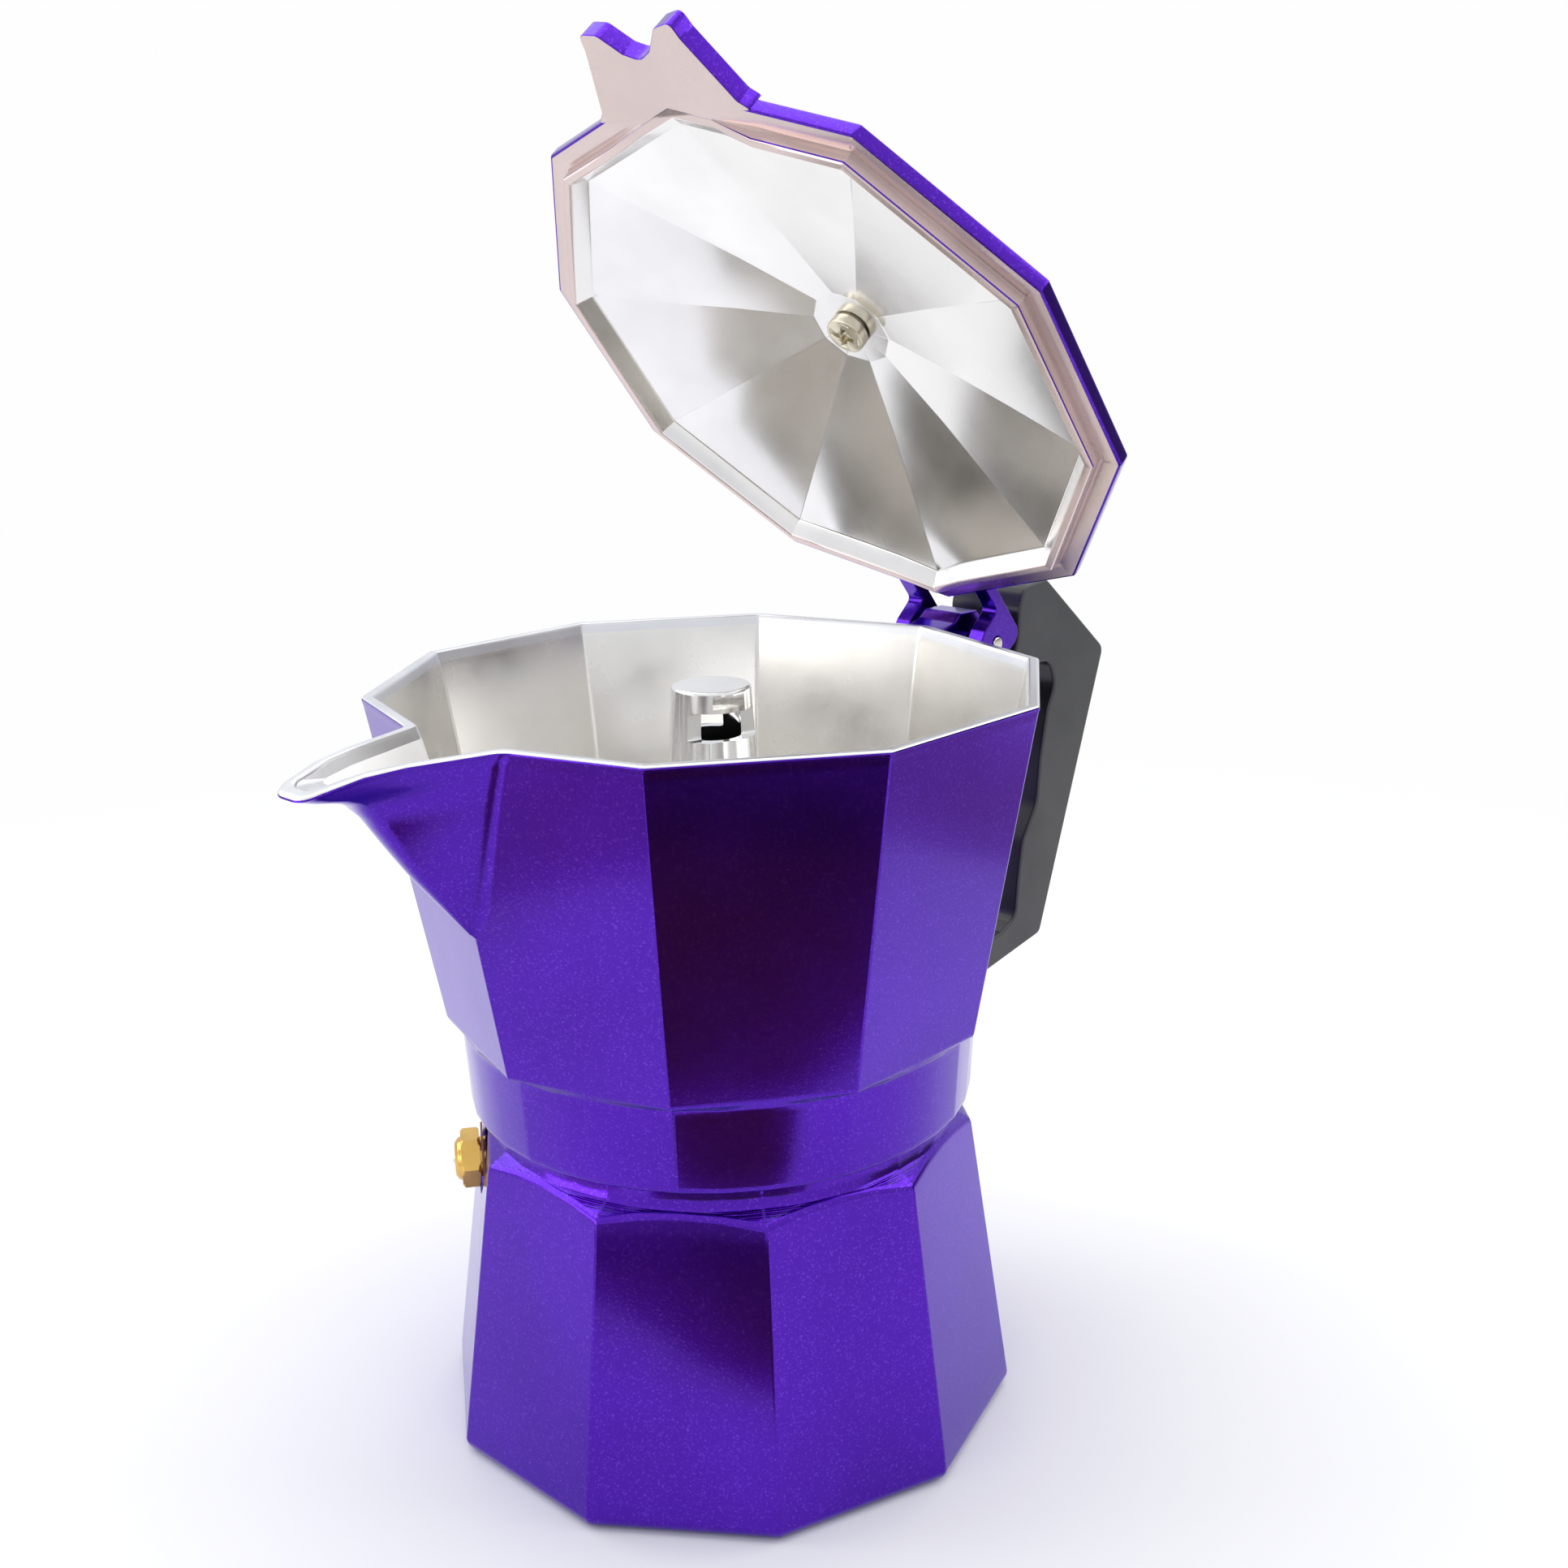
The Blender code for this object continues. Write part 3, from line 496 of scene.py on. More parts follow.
def jug_ring(z, inner=False, roundness=0.0, round_r=0.0):
    """Horizontal outline of the jug with its spout. The spout's lip curves down at its tip."""
    r = jug_r(z) - (JUG_WALL if inner else 0.0)
    step = 360 / SIDES
    corners = []
    radii = []
    for k in range(1, SIDES):
        a = math.radians(180 + step * k)
        corners.append((r * math.cos(a), r * math.sin(a)))
        radii.append(1.6 if inner else 0.9)
    tip_z = z - LIP_DROP * lip_share(z)
    half = 0.36 * (z - SPOUT_Z) - (1.4 if inner else 0.0)
    nose = table(CHANNEL if inner else KEEL, tip_z)
    width = table(CHANNEL_W if inner else NOSE_W, tip_z)
    nose = min(nose, -r - 0.02) if half > 0.2 else -r
    half = min(9.6 if inner else 10.4, max(0.2, half))
    width = min(width, 0.8 * half)
    lean = math.tan(math.radians(step / 2))
    for x, y in ((-r + half * lean, half), (nose, width), (nose, -width), (-r + half * lean, -half)):
        corners.append((x, y))
    radii += [2.2 if inner else 3.0, 3.0, 3.0, 2.2 if inner else 3.0]
    outline = rounded(corners, radii)
    if roundness:
        outline = blend_round(outline, round_r or r, roundness)
    points = []
    for p in outline:
        over = max(0.0, LIP_X - p.x) / LIP_RUN
        points.append(Vector((p.x, p.y, z - LIP_DROP * over * over * lip_share(z))))
    return points


def mix_rings(first, second, t):
    return [a.lerp(b, t) for a, b in zip(first, second)]


def thread_wave(angle, z, pitch=3.0):
    phase = (z / pitch - angle / (2 * math.pi)) % 1.0
    return min(1.0, max(0.0, 1.6 - 4.0 * abs(phase - 0.5)))


def threaded(outline, root, depth, z):
    points = []
    for p in outline:
        r = root + depth * thread_wave(math.atan2(p.y, p.x), z)
        points.append(Vector((*(p.normalized() * r), z)))
    return points


def round_ring(outline, r, z):
    return [Vector((*(p.normalized() * r), z)) for p in outline]


def build_jug():
    flat = [Vector((p.x, p.y)) for p in jug_ring(FOOT_Z)]
    rings = []
    finishes = []

    def add(points, finish):
        rings.append(points)
        finishes.append(finish)

    for r, z in ((38.95, -0.9), (39.15, -0.8), (39.3, -0.5), (39.4, 0.2), (39.6, 4.0), (39.85, 8.0),
                 (40.05, 11.2), (40.12, 12.1)):
        add(round_ring(flat, r, COLLAR_Z + z), OUTSIDE)
    for k in range(18):
        z = 66.05 + 0.4 * k
        add(jug_ring(z, False, 1 - ease(z, 65.8, 67.0), COLLAR_R), OUTSIDE)
    for k in range(5):
        add(jug_ring(74.5 + 3.2 * k), OUTSIDE)
    for k in range(26):
        add(jug_ring(89.2 + 1.1 * k), OUTSIDE)
    outer = jug_ring(RIM_Z)
    inner = jug_ring(RIM_Z, True)
    for t, drop in ((0.0, 0.55), (0.03, 0.28), (0.14, 0.06), (0.3, 0.0), (0.72, 0.0),
                    (0.88, 0.07), (0.97, 0.25), (1.0, 0.55)):
        points = mix_rings(outer, inner, t)
        add([p - Vector((0, 0, drop)) for p in points], OUTSIDE if t == 0 else RIM)
    for k in range(1, 20):
        add(jug_ring(RIM_Z - 0.55 - 1.1 * k, True), INNER)
    for z in (93.5, 90.0, 86.0, 82.0, 78.0, 75.0, 73.2):
        add(jug_ring(z, True), INNER)
    for z, r, roundness in ((72.0, 41.0, 0.05), (70.9, 40.6, 0.15), (69.9, 39.9, 0.3),
                            (69.1, 38.9, 0.5), (68.5, 37.5, 0.75), (68.15, 36.0, 0.95)):
        outline = blend_round(decagon_like(flat, r), r, roundness)
        add(ring(outline, z), INNER)
    for r, z in ((35.0, 68.0), (22.0, 68.0), (9.9, 68.0), (9.55, 67.85), (9.4, 67.5), (9.4, 65.4)):
        add(round_ring(flat, r, z), INNER)
    for r, z in ((9.6, 65.4), (35.6, 65.4), (35.6, 62.6)):
        add(round_ring(flat, r, z), INNER)
    for k in range(15):
        add(threaded(flat, 36.65, 0.9, 61.6 - 0.5 * k), INNER)
    add(round_ring(flat, 37.95, 54.2), INNER)
    add(round_ring(flat, 38.2, COLLAR_Z - 0.7), INNER)
    add(round_ring(flat, 38.5, COLLAR_Z - 0.9), OUTSIDE)
    jug = loft("jug_shell", rings, finishes, [LACQUER, RIM_METAL, INSIDE, SPOUT_PAINTED_HIGHLIGHT], True)
    # The spout's channel is what lies beyond the ten-sided inner wall. It takes a near-white, barely
    # metallic finish that paints the channel's blown-out highlight into its colour.
    lean = math.radians(180 / SIDES)
    for poly in jug.data.polygons:
        p = poly.center / MM
        reach = -p.x * math.cos(lean) + abs(p.y) * math.sin(lean)
        wall = (jug_r(p.z) - JUG_WALL) * math.cos(lean)
        beyond = p.z > SPOUT_Z and p.x < 0 and reach > wall + CHANNEL_MARGIN
        if poly.material_index == INNER and beyond:
            poly.material_index = CHANNEL_HIGHLIGHT_FACE
    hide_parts("collector_body")
    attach(jug, "collector")

    lug = [(49.0, 108.4), (54.5, 110.9), (57.8, 111.8), (60.5, 112.6), (61.3, 115.0),
           (61.3, 118.3), (60.2, 119.7), (55.6, 119.8), (53.9, 118.4), (50.3, 117.5)]
    lug = rounded(lug, [0.5, 3, 2, 2, 2, 1.2, 1.2, 0.9, 1.2, 0.5])
    piece = slab("hinge_lug", lug, -3.9, 3.9, LACQUER, STAND, 0.6)
    hole = turned("cut_lug", [(0, -9), (PIN_HOLE_R, -9), (PIN_HOLE_R, 9), (0, 9)], [0] * 4, LACQUER,
                  shift(HINGE.x, 0, HINGE.z) @ STAND, 40)
    cut(piece, hole)
    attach(piece, "collector")
    tang = [(46.6, 97.6), (61.8, 97.6), (61.8, 105.2), (48.0, 105.2)]
    tang = slab("handle_tang", rounded(tang, [0.3, 1.5, 1.5, 0.3]), -2, 2, LACQUER, STAND, 0.3)
    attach(tang, "collector")


def decagon_like(outline, r):
    """The jug's outline points moved onto a plain ten-sided outline of this corner radius."""
    step = 2 * math.pi / SIDES
    points = []
    for p in outline:
        off = (math.atan2(p.y, p.x) % step) - step / 2
        points.append(p.normalized() * r * math.cos(step / 2) / math.cos(off))
    return points


def build_column():
    low, high = box_mm("riser_column")
    top, foot = high.z, low.z
    profile = [(0, top - 2), (4.4, top - 2), (5.6, foot), (9.1, foot), (9.1, 68.3), (8.8, 69.2),
               (6.0, top), (0, top)]
    column = turned("column", profile, [0, 0.6, 0.2, 0.1, 0.3, 0.6, 0.55, 0], COLUMN_METAL, None,
                    120)
    window = rounded([(3.0, 109.2), (12, 109.2), (12, 113.6), (3.0, 113.6)], [0.5, 0, 0, 0.5])
    for angle in (252, 72):
        tool = slab("cut_window", window, -9, 9, COLUMN_METAL, turn(angle, "Z") @ STAND, 0.01, 1)
        cut(column, tool)
    column.data.set_sharp_from_angle(angle=SMOOTH_BELOW)
    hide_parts("riser_column")
    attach(column, "collector")


# ---------------------------------------------------------------- boiler

SHOULDER_R, SHOULDER_Z, SHOULDER_SLOPE = 39.6, 47.2, 0.6
BASE_CORNER_R = 46.0
BASE_ROUND = 2.3
BOILER_TURN = 18.0
NECK_R = 36.2
CONE_R = 36.9


def boiler_r(z):
    slope = (BASE_CORNER_R - SHOULDER_R) / (SHOULDER_Z - BASE_ROUND)
    return BASE_CORNER_R - slope * (z - BASE_ROUND)


def build_boiler():
    base = decagon(1.0, BOILER_TURN, 0.022)
    slope = (BASE_CORNER_R - SHOULDER_R) / (SHOULDER_Z - BASE_ROUND)
    rings = [[Vector((0, 0, 0))], ring([p * (BASE_CORNER_R - 12) for p in base], 0.0)]
    for k in range(7):
        a = math.radians(15 * k)
        r = BASE_CORNER_R - BASE_ROUND * (1 - math.sin(a))
        rings.append(ring([p * r for p in base], BASE_ROUND * (1 - math.cos(a))))
    for z in (6, 12, 20, 28, 36, 42, 44.5):
        rings.append(ring([p * boiler_r(z) for p in base], z))
    lower, edge, upper = [], [], []
    for p in base:
        d = p.length
        rise = SHOULDER_R * (1 - d) / (1 / SHOULDER_SLOPE - slope * d)
        z = SHOULDER_Z + rise
        out = p.normalized()
        below = Vector((*(out * boiler_r(z - 0.7) * d), z - 0.7))
        corner = Vector((*(out * boiler_r(z) * d), z))
        inward = boiler_r(z) * d - 0.7
        above = Vector((*(out * inward), z + 0.7 * SHOULDER_SLOPE))
        lower.append(below)
        edge.append(below * 0.25 + corner * 0.5 + above * 0.25)
        upper.append(above)
    rings += [lower, mix_rings(lower, edge, 0.55), edge, mix_rings(edge, upper, 0.45), upper]
    cone_z = SHOULDER_Z + (SHOULDER_R - CONE_R) * SHOULDER_SLOPE
    turned_from = len(rings) - 1
    for r, z in ((CONE_R, cone_z), (NECK_R + 0.35, cone_z + 0.6), (NECK_R, cone_z + 1.8)):
        rings.append(round_ring(base, r, z))
    rings.append(round_ring(base, NECK_R, 52.3))
    rings.append(round_ring(base, NECK_R - 0.2, 52.5))
    bare_from = len(rings)
    for k in range(17):
        z = 52.6 + 0.5 * k
        level = 0.9 * min(1.0, z - 52.6, 60.6 - z)
        rings.append(threaded(base, NECK_R, max(0.0, level), z))
    for r, z in ((NECK_R - 0.1, 61.2), (NECK_R - 0.5, 61.4), (32.9, 61.4), (32.6, 61.1),
                 (32.6, 50.0), (34.8, 45.0), (39.6, 10.0), (38.6, 5.5), (36.0, 3.3), (20, 3.0)):
        rings.append(round_ring(base, r, z))
    rings.append([Vector((0, 0, 3.0))])
    finishes = []
    for k in range(len(rings)):
        finishes.append(0 if k < turned_from else 1 if k < bare_from - 1 else 2)
    boiler = loft("boiler_shell", rings, finishes, [LACQUER, LACQUER_TURNED, INSIDE])

    out = VALVE_AXIS.to_track_quat("Z", "Y").to_matrix().to_4x4()
    seat = shift(0, 0, box_mm("valve_plunger")[0].z * 0.5 + box_mm("valve_plunger")[1].z * 0.5)
    place = seat @ out
    cut(boiler, turned("cut_face", [(0, 37.8), (5.8, 37.8), (5.8, 48), (0, 48)], [0] * 4,
                       LACQUER, place, 64))
    cut(boiler, turned("cut_bore", [(0, 30), (3.4, 30), (3.4, 45), (0, 45)], [0] * 4,
                       INSIDE, place, 48))
    boiler.data.set_sharp_from_angle(angle=SMOOTH_BELOW)
    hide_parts("boiler_body")
    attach(boiler, "boiler")

    start, end = 38.7, 41.6
    apothem = 4.0

    def hexagon(a, p):
        if not start - 0.01 < p.y < end + 0.01 or p.x < 3.55:
            return 1.0
        side = math.pi / 3
        across = apothem / math.cos((a % side) - side / 2)
        return min(1.0, across / p.x)

    profile = [(1.5, 32.6), (3.1, 32.6), (3.1, start), (4.3, start), (4.62, start + 0.35),
               (4.62, end - 0.35), (4.2, end), (3.45, end), (3.2, end + 0.5), (2.6, end + 1.0),
               (1.7, end + 1.05), (1.6, end + 0.3), (2.4, end - 0.2), (2.4, 34.0)]
    radii = [0.2, 0.2, 0.05, 0.1, 0.2, 0.2, 0.1, 0.1, 0.5, 0.5, 0.2, 0.1, 0.1, 0.1]
    valve = turned("valve_hexagon", profile, radii, BRASS, place, 144, True, hexagon)
    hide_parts("valve_body")
    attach(valve, "boiler")


# ---------------------------------------------------------------- lid

LID_X = 1.0
LID_GAP = 0.3
FLANGE_T = 2.4
CROWN_Z, CROWN_T = 9.8, 2.4
LID_BASE = Vector((LID_X - HINGE.x, 0, RIM_Z + LID_GAP - HINGE.z))
HINGE_FRAME = shift(*HINGE) @ turn(LID_OPEN, "Y")
LID_FRAME = HINGE_FRAME @ shift(*LID_BASE)
RIB_END = 15.0


def lid_ring(r, z, corner=0.7, bulge=0.0, rib=0.0, roundness=0.0):
    """Ten-sided ring in the lid's frame.

    bulge swells it at the hinge. rib lowers it, except beside the tab.
    """
    outline = decagon(r, 0.0, corner)
    if roundness:
        outline = blend_round(outline, r, roundness)
    points = []
    for p in outline:
        angle = math.degrees(math.atan2(p.y, p.x))
        near_hinge = math.exp(-((angle / 6.0) ** 2))
        from_tab = 180 - abs(angle)
        depth = rib * ease(from_tab, RIB_END - 0.8, RIB_END + 0.8)
        q = p.normalized() * (p.length + bulge * near_hinge)
        points.append(Vector((q.x, q.y, z - depth)))
    return points


def build_lid():
    rings = []
    finishes = []
    crown = CROWN_Z + CROWN_T
    # Columns: r, z, corner, bulge, rib, roundness, finish. Finish 1 is the flange aluminium, whose pink tint
    # is a painted reflection of the jug.
    rows = [
        (2.1, CROWN_Z, 0.1, 0, 0, 1.0, 0),
        (6.7, CROWN_Z, 0.3, 0, 0, 0.0, 0),
        (7.1, CROWN_Z - 0.05, 0.3, 0, 0, 0.0, 0),
        (20.0, 7.0, 0.3, 0, 0, 0.0, 0),
        (32.0, 4.0, 0.3, 0, 0, 0.0, 0),
        (44.2, 0.92, 0.3, 0.8, 0, 0.0, 0),
        (44.6, 0.70, 0.3, 0.8, 0, 0.0, 0),
        (45.8, -0.02, 0.4, 0.7, 1.2, 0.0, 0),
        (46.05, -0.02, 0.4, 0.7, 1.65, 0.0, 1),
        (46.25, -0.02, 0.4, 0.7, 1.8, 0.0, 1),
        (47.15, -0.02, 0.5, 0.7, 1.8, 0.0, 1),
        (47.38, -0.02, 0.5, 0.7, 1.6, 0.0, 2),
        (47.42, -0.02, 0.5, 0.7, 1.35, 0.0, 1),
        (47.55, -0.02, 0.5, 0.7, 0.2, 0.0, 1),
        (47.75, 0.0, 0.5, 0.7, -0.22, 0.0, 1),
        (48.2, 0.0, 0.5, 0.8, -0.22, 0.0, 1),
        (48.5, 0.0, 0.6, 0.5, 0, 0.0, 1),
        (50.55, 0.0, 0.7, 0, 0, 0.0, 2),
        (50.88, 0.12, 0.7, 0, 0, 0.0, 2),
        (51.0, 0.4, 0.7, 0, 0, 0.0, 2),
        (51.0, 1.9, 0.7, 0, 0, 0.0, 2),
        (50.88, 2.22, 0.7, 0, 0, 0.0, 2),
        (50.55, 2.4, 0.7, 0, 0, 0.0, 2),
        (49.0, 2.48, 0.7, 0, 0, 0.0, 2),
        (48.4, 2.6, 0.7, 0, 0, 0.0, 2),
        (34.0, 5.95, 0.6, 0, 0, 0.0, 2),
        (20.0, 9.3, 0.5, 0, 0, 0.0, 2),
        (8.4, crown - 0.05, 0.3, 0, 0, 0.0, 2),
        (7.9, crown, 0.3, 0, 0, 0.0, 2),
        (2.1, crown, 0.1, 0, 0, 1.0, 2),
    ]
    for r, z, corner, bulge, rib, roundness, finish in rows:
        rings.append(lid_ring(r, z, corner, bulge, rib, roundness))
        finishes.append(finish)
    lid = loft("lid_cover", rings, finishes, [LID_POCKET, LID_FLANGE_REFLECTION_TINT, LACQUER], True, LID_FRAME)
    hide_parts("lid_shell")
    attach(lid, "lid")

    side = [(-46.0, -15.2), (-47.6, -13.4), (-57.4, -9.4), (-59.9, -8.9), (-59.4, -5.6),
            (-56.2, -2.6), (-55.0, 0.0)]
    corners = side + [(x, -y) for x, y in reversed(side[:-1])]
    radii = [0.4, 1.6, 1.8, 1.5, 1.8, 1.5, 2.4]
    radii += radii[:-1][::-1]
    # The tab's underside takes the flange aluminium, pink-tinted as a painted reflection of the jug.
    tab = slab("lid_tab", rounded(corners, radii, 6, 2), -0.02, 3.1, LACQUER, LID_FRAME, 0.35, 3,
               LID_FLANGE_REFLECTION_TINT)
    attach(tab, "lid")

    root_x = LID_BASE.x + 46.0
    root_z = LID_BASE.z
    ear = [(root_x, root_z + 0.2), (-4.4, root_z + 0.2), (-4.2, -1.0), (-3.2, -3.2), (-1.4, -4.5),
           (0.8, -4.6), (3.0, -3.6), (4.6, -2.4), (5.4, -1.2), (5.2, -0.2), (3.9, 0.9),
           (3.5, 2.2), (3.7, 3.6), (3.2, 5.0), (2.0, 5.8), (root_x, root_z + FLANGE_T)]
    ear = rounded(ear, [0.3] + [1.2] * 14 + [0.3], 4, 1)
    for name, centre in (("lid_ear_right", -8.05), ("lid_ear_left", 8.05)):
        place = HINGE_FRAME @ shift(0, centre, 0) @ STAND
        piece = slab(name, ear, -1.55, 1.55, LACQUER, place, 0.35)
        hole = turned("cut_ear", [(0, -4), (PIN_HOLE_R, -4), (PIN_HOLE_R, 4), (0, 4)], [0] * 4, LACQUER,
                      place, 40)
        cut(piece, hole)
        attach(piece, "lid")


def build_knob():
    foot = CROWN_Z + CROWN_T + 0.3
    top = foot + 20.0
    step = math.pi / 5

    def sided(a, p):
        if p.x < 3.6:
            return 1.0
        off = (a % step) - step / 2
        flat = math.cos(step / 2) / math.cos(off)
        return 1.0 - (1.0 - flat) * 0.92

    profile = [(3.3, foot), (7.0, foot), (7.0, foot + 1.5), (6.4, foot + 4.5), (6.8, foot + 8.0),
               (8.4, foot + 12.5), (10.6, top - 3.4), (10.6, top - 2.0), (8.8, top - 0.3),
               (4.0, top), (0, top)]
    radii = [0.1, 0.7, 1.5, 4, 8, 10, 1.5, 1.2, 3, 4, 0]
    inner = [(0, foot + 12.3), (3.3, foot + 12.3)]
    knob = turned("knob_grip", inner + profile, [0, 0.1] + radii, PLASTIC, LID_FRAME, 120, False,
                  sided)
    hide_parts("knob")
    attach(knob, "lid")

    under = CROWN_Z - 0.3
    profile = [(0, foot + 10.0), (1.4, foot + 10.0), (1.7, foot + 9.6), (1.7, under),
               (3.25, under), (3.25, under - 1.7), (1.4, under - 1.95), (0, under - 1.95)]
    screw = turned("lid_screw", profile, [0, 0, 0, 0, 0.15, 0.35, 0.8, 0], SCREW_METAL, LID_FRAME,
                   72)
    low = under - 2.4
    for k in range(2):
        blade = rounded([(-0.5, low), (0.5, low), (0.3, under - 0.5), (-0.3, under - 0.5)],
                        [0] * 4, 1, 1)
        place = LID_FRAME @ turn(25 + 90 * k, "Z") @ STAND
        cut(screw, slab("cut_cross", blade, -1.75, 1.75, SCREW_METAL, place, 0.01, 1))
    screw.data.set_sharp_from_angle(angle=SMOOTH_BELOW)
    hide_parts("knob_screw")
    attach(screw, "lid")


# ---------------------------------------------------------------- handle and pins


def build_handle():
    corners = [
        (50.4, 106.4, 0.8), (60.8, 106.6, 3), (65.6, 109.2, 4), (67.1, 114.0, 5),
        (67.3, 119.0, 5), (68.6, 122.9, 3), (75.4, 123.3, 2), (93.4, 108.4, 2.2),
        (75.4, 57.8, 1.8), (60.0, 55.0, 6), (50.8, 53.4, 1.4), (50.1, 60.0, 1.6),
        (63.4, 60.9, 3), (67.8, 62.9, 3), (68.4, 69.5, 6), (69.5, 76.6, 6), (73.6, 83.0, 6),
        (74.4, 91.0, 8), (76.2, 99.6, 6), (78.4, 104.0, 4), (76.6, 108.6, 2.6),
        (71.6, 108.6, 4), (66.4, 103.0, 6), (62.0, 97.2, 5), (55.0, 95.6, 5), (48.9, 95.6, 0.8),
    ]
    outline = rounded([(x, z) for x, z, _ in corners], [r for _, _, r in corners], 7, 3)
    handle = slab("grip", outline, -7.5, 7.5, PLASTIC, STAND, 1.1, 4)
    slot = rounded([(40, 96.9), (62.8, 96.9), (62.8, 105.9), (40, 105.9)], [0] * 4, 1, 1)
    cut(handle, slab("cut_slot", slot, -2.3, 2.3, PLASTIC, STAND, 0.01, 1))
    pin_low, pin_high = box_mm("handle_pin")
    middle = (pin_low + pin_high) / 2
    place = shift(middle.x, 0, middle.z) @ STAND
    cut(handle, turned("cut_pin", [(0, -10), (PIN_HOLE_R, -10), (PIN_HOLE_R, 10), (0, 10)], [0] * 4, PLASTIC,
                       place, 40))
    handle.data.set_sharp_from_angle(angle=SLAB_SMOOTH_BELOW)
    # Faces towards the jug take the smoother plastic, made much darker as painted shade between the grip and
    # the jug.
    handle.data.materials.append(PLASTIC_SMOOTH_SHADED)
    for poly in handle.data.polygons:
        if abs(poly.normal.y) < 0.35 and poly.normal.x < -0.2:  # faces towards the jug
            poly.material_index = 1
    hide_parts("handle")
    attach(handle, "collector")

    for name, node in (("handle_rivet", "handle_pin"), ("hinge_rod", "hinge_pin")):
        low, high = box_mm(node)
        middle = (low + high) / 2
        half = (high.y - low.y) / 2
        place = shift(middle.x, 0, middle.z) @ STAND
        profile = [(0, -half), (PIN_R, -half), (PIN_R, half), (0, half)]
        pin = turned(name, profile, [0, 0.3, 0.3, 0], STEEL, place, 48)
        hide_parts(node)
        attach(pin, "collector")


# ---------------------------------------------------------------- kept CAD pieces

KEPT = {
    "valve_washer": FIBRE,
    "valve_retainer": BRASS,
    "valve_spring": STEEL,
    "valve_plunger": STEEL,
    "funnel_body": SHEET_METAL,
    "funnel_screen": SHEET_METAL,
    "filter_plate": SHEET_METAL,
    "gasket": RUBBER,
    "knob_insert": BRASS,
}


def dress_kept():
    for name, mat in KEPT.items():
        node = frame["nodes"][name]
        node.data.materials.clear()
        node.data.materials.append(mat)


# ---------------------------------------------------------------- studio

FOCAL_PX = 2315.631
FRAME_PX = 1932
SENSOR = 36.0
CAMERA_TURN = (-46.458, 15.839, -0.981)
CAMERA_DISTANCE = 290.876
CAMERA_AIM = (10.699, 15.401)
AIM_Z = 85.0


def build_camera():
    turn_z, lift, roll = (math.radians(a) for a in CAMERA_TURN)
    back = Vector((math.sin(turn_z) * math.cos(lift), -math.cos(turn_z) * math.cos(lift),
                   math.sin(lift)))
    right = Vector((math.cos(turn_z), math.sin(turn_z), 0))
    up = back.cross(right)
    aim = Vector((0, 0, AIM_Z)) + right * CAMERA_AIM[0] + up * CAMERA_AIM[1]
    rolled_right = right * math.cos(roll) + up * math.sin(roll)
    rolled_up = up * math.cos(roll) - right * math.sin(roll)
    basis = Matrix((rolled_right, rolled_up, back)).transposed().to_4x4()
    data = bpy.data.cameras.new("camera")
    data.sensor_width = SENSOR
    data.lens = FOCAL_PX * SENSOR / FRAME_PX
    data.clip_start = 0.01
    camera = bpy.data.objects.new("camera", data)
    bpy.context.scene.collection.objects.link(camera)
    camera.matrix_world = Matrix.Translation((aim + back * CAMERA_DISTANCE) * MM) @ basis
    bpy.context.scene.camera = camera


def around(angle, distance, height):
    """A point at this angle about the pot's axis, in millimetres."""
    a = math.radians(angle)
    return Vector((distance * math.cos(a), distance * math.sin(a), height))


def softbox(name, angle, distance, height, width, tall, watts, colour=(1, 1, 1)):
    data = bpy.data.lights.new(name, "AREA")
    data.shape = "RECTANGLE"
    data.size = width * MM
    data.size_y = tall * MM
    data.energy = watts
    data.color = colour
    light = bpy.data.objects.new(name, data)
    bpy.context.scene.collection.objects.link(light)
    where = around(angle, distance, height)
    towards = Vector((0, 0, 80)) - where
    light.matrix_world = Matrix.Translation(where * MM) @ towards.to_track_quat(
        "-Z", "Y").to_matrix().to_4x4()
    return light


def plain(name, colour, glow=(0, 0, 0)):
    mat = bpy.data.materials.new(name)
    mat.use_nodes = True
    shader = mat.node_tree.nodes["Principled BSDF"]
    shader.inputs["Base Color"].default_value = (*colour, 1)
    shader.inputs["Roughness"].default_value = 0.9
    shader.inputs["Specular IOR Level"].default_value = 0.0
    shader.inputs["Emission Color"].default_value = (*glow, 1)
    shader.inputs["Emission Strength"].default_value = 1.0
    return mat


def floor_paper():
    """White paper that turns into the backdrop's own light further out, so no horizon shows."""
    mat = plain("floor_paper", PAPER)
    nodes, links = mat.node_tree.nodes, mat.node_tree.links
    shader = nodes["Principled BSDF"]
    coords = nodes.new("ShaderNodeTexCoord").outputs["Object"]
    away = nodes.new("ShaderNodeVectorMath")
    away.operation = "LENGTH"
    links.new(coords, away.inputs[0])
    black = (0, 0, 0)
    for socket, near, far in (("Base Color", PAPER, black), ("Emission Color", black, BACKDROP)):
        ramp = nodes.new("ShaderNodeMapRange")
        ramp.data_type = "FLOAT_VECTOR"
        ramp.interpolation_type = "SMOOTHSTEP"
        ramp.inputs[7].default_value = (FADE_NEAR * MM,) * 3
        ramp.inputs[8].default_value = (FADE_FAR * MM,) * 3
        ramp.inputs[9].default_value = near
        ramp.inputs[10].default_value = far
        links.new(away.outputs["Value"], ramp.inputs["Vector"])
        links.new(ramp.outputs["Vector"], shader.inputs[socket])
    return mat


def sheet_of(name, corners, mat):
    mesh = bpy.data.meshes.new(name)
    mesh.from_pydata([tuple(c * MM) for c in corners], [], [tuple(range(len(corners)))])
    mesh.materials.append(mat)
    obj = bpy.data.objects.new(name, mesh)
    bpy.context.scene.collection.objects.link(obj)
    return obj


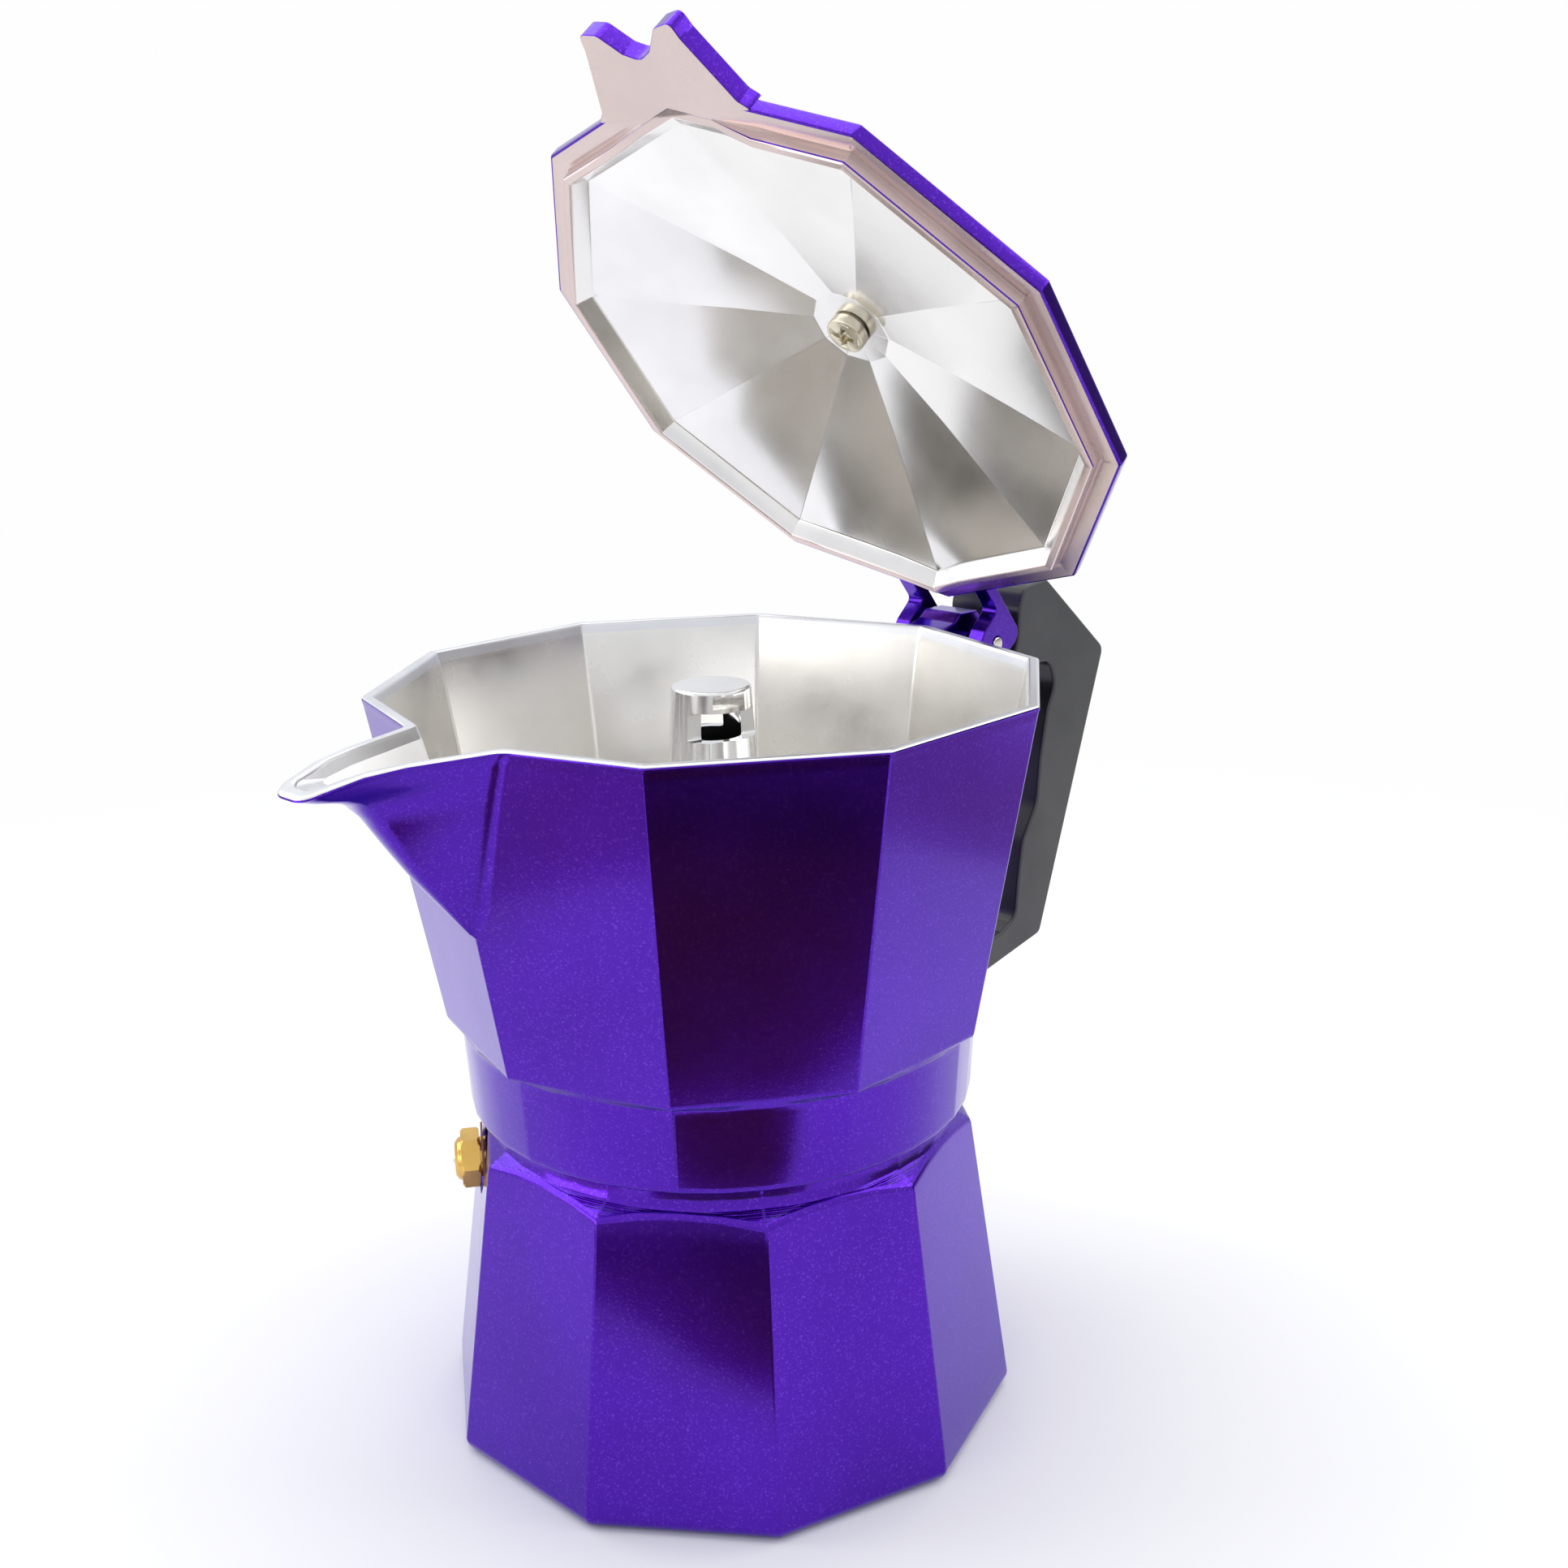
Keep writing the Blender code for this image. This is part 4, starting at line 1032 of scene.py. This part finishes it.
def reflection_card(name, corners, glow):
    """A card that only reflections see. It stands for part of the room around the pot."""
    card = sheet_of(name, corners, plain(name, (0.004, 0.003, 0.004), glow))
    card.visible_camera = False
    card.visible_diffuse = False
    card.visible_shadow = False
    card.visible_transmission = False
    return card


PAPER = (0.83, 0.83, 0.838)
BACKDROP = (0.985, 0.99, 0.985)
FADE_NEAR, FADE_FAR = 110.0, 430.0
FLOOR_REACH, FLOOR_Z = 3000.0, -0.05
CARD_Z = 0.3


def build_studio():
    signs = ((-1, -1), (1, -1), (1, 1), (-1, 1))
    floor = [Vector((x * FLOOR_REACH, y * FLOOR_REACH, FLOOR_Z)) for x, y in signs]
    sheet_of("floor", floor, floor_paper())

    # Cards lying on the floor that only reflections see: painted shade for the floor in front of the pot,
    # dark near it and grey further out.
    near = ((194, 185), (202, 165), (207, 142), (211, 122), (217, 109), (226, 104), (238, 104),
            (245, 108), (249, 116), (252, 128), (256, 150))
    far = ((260, 195), (227, 195), (194, 195))
    ground = [around(angle, reach, CARD_Z) for angle, reach in near + far]
    reflection_card("near_ground_shade_flag", ground, (0.20, 0.10, 0.05))
    for name, start, end, glow in (("far_ground_shade_flag", 195, 240, (0.05, 0.04, 0.02)),
                                   ("outer_ground_shade_flag", 240, 420, (0.36, 0.30, 0.36))):
        ground = [around(angle, reach, CARD_Z) for angle, reach in
                  ((194, start), (227, start), (260, start), (261, end), (227, end), (194, end))]
        reflection_card(name, ground, glow)
    for name, start, end, near_r, far_r, glow in (
            ("left_shade", 148, 184, 190, 262, (0.56, 0.42, 0.42)),
            ("right_shade", 300, 332, 215, 300, (0.56, 0.36, 0.48))):
        corners = [around(start, near_r, CARD_Z), around(end, near_r, CARD_Z), around(end, far_r, CARD_Z),
                   around(start, far_r, CARD_Z)]
        reflection_card(name, corners, glow)
    window = []
    for angle, height in ((138, 30), (174, 30), (174, 300), (138, 300)):
        window.append(around(angle, 700, height))
    reflection_card("window_glow", window, (2.7, 2.66, 2.56))
    side = []
    for angle, height in ((294, 40), (338, 40), (338, 330), (294, 330)):
        side.append(around(angle, 600, height))
    reflection_card("side_flag", side, (0.16, 0.16, 0.155))

    softbox("key_left", 120, 620, 480, 500, 600, 1.5, (0.97, 0.98, 1.0))
    softbox("key_right", 318, 620, 420, 420, 600, 1.1, (1.0, 0.985, 0.96))
    softbox("top", 40, 160, 760, 700, 700, 1.9)

    world = bpy.data.worlds.new("studio")
    world.use_nodes = True
    nodes, links = world.node_tree.nodes, world.node_tree.links
    background = nodes["Background"]
    coords = nodes.new("ShaderNodeTexCoord").outputs["Generated"]
    parts = nodes.new("ShaderNodeSeparateXYZ")
    links.new(coords, parts.inputs["Vector"])
    ramp = nodes.new("ShaderNodeValToRGB")
    ramp.color_ramp.elements[0].position = 0.0
    ramp.color_ramp.elements[0].color = (0.80, 0.82, 0.86, 1)
    ramp.color_ramp.elements[1].position = 0.7
    ramp.color_ramp.elements[1].color = (0.98, 0.99, 1.0, 1)
    links.new(parts.outputs["Z"], ramp.inputs["Fac"])
    path = nodes.new("ShaderNodeLightPath")
    mix = nodes.new("ShaderNodeMix")
    mix.data_type = "RGBA"
    links.new(path.outputs["Is Camera Ray"], mix.inputs[0])
    links.new(ramp.outputs["Color"], mix.inputs[6])
    mix.inputs[7].default_value = (*BACKDROP, 1)
    links.new(mix.outputs[2], background.inputs["Color"])
    background.inputs["Strength"].default_value = 1.0
    bpy.context.scene.world = world
    bpy.context.scene.view_settings.view_transform = "Standard"


build_camera()
build_jug()
build_column()
build_boiler()
build_lid()
build_knob()
build_handle()
dress_kept()
build_studio()

bpy.context.view_layer.update()
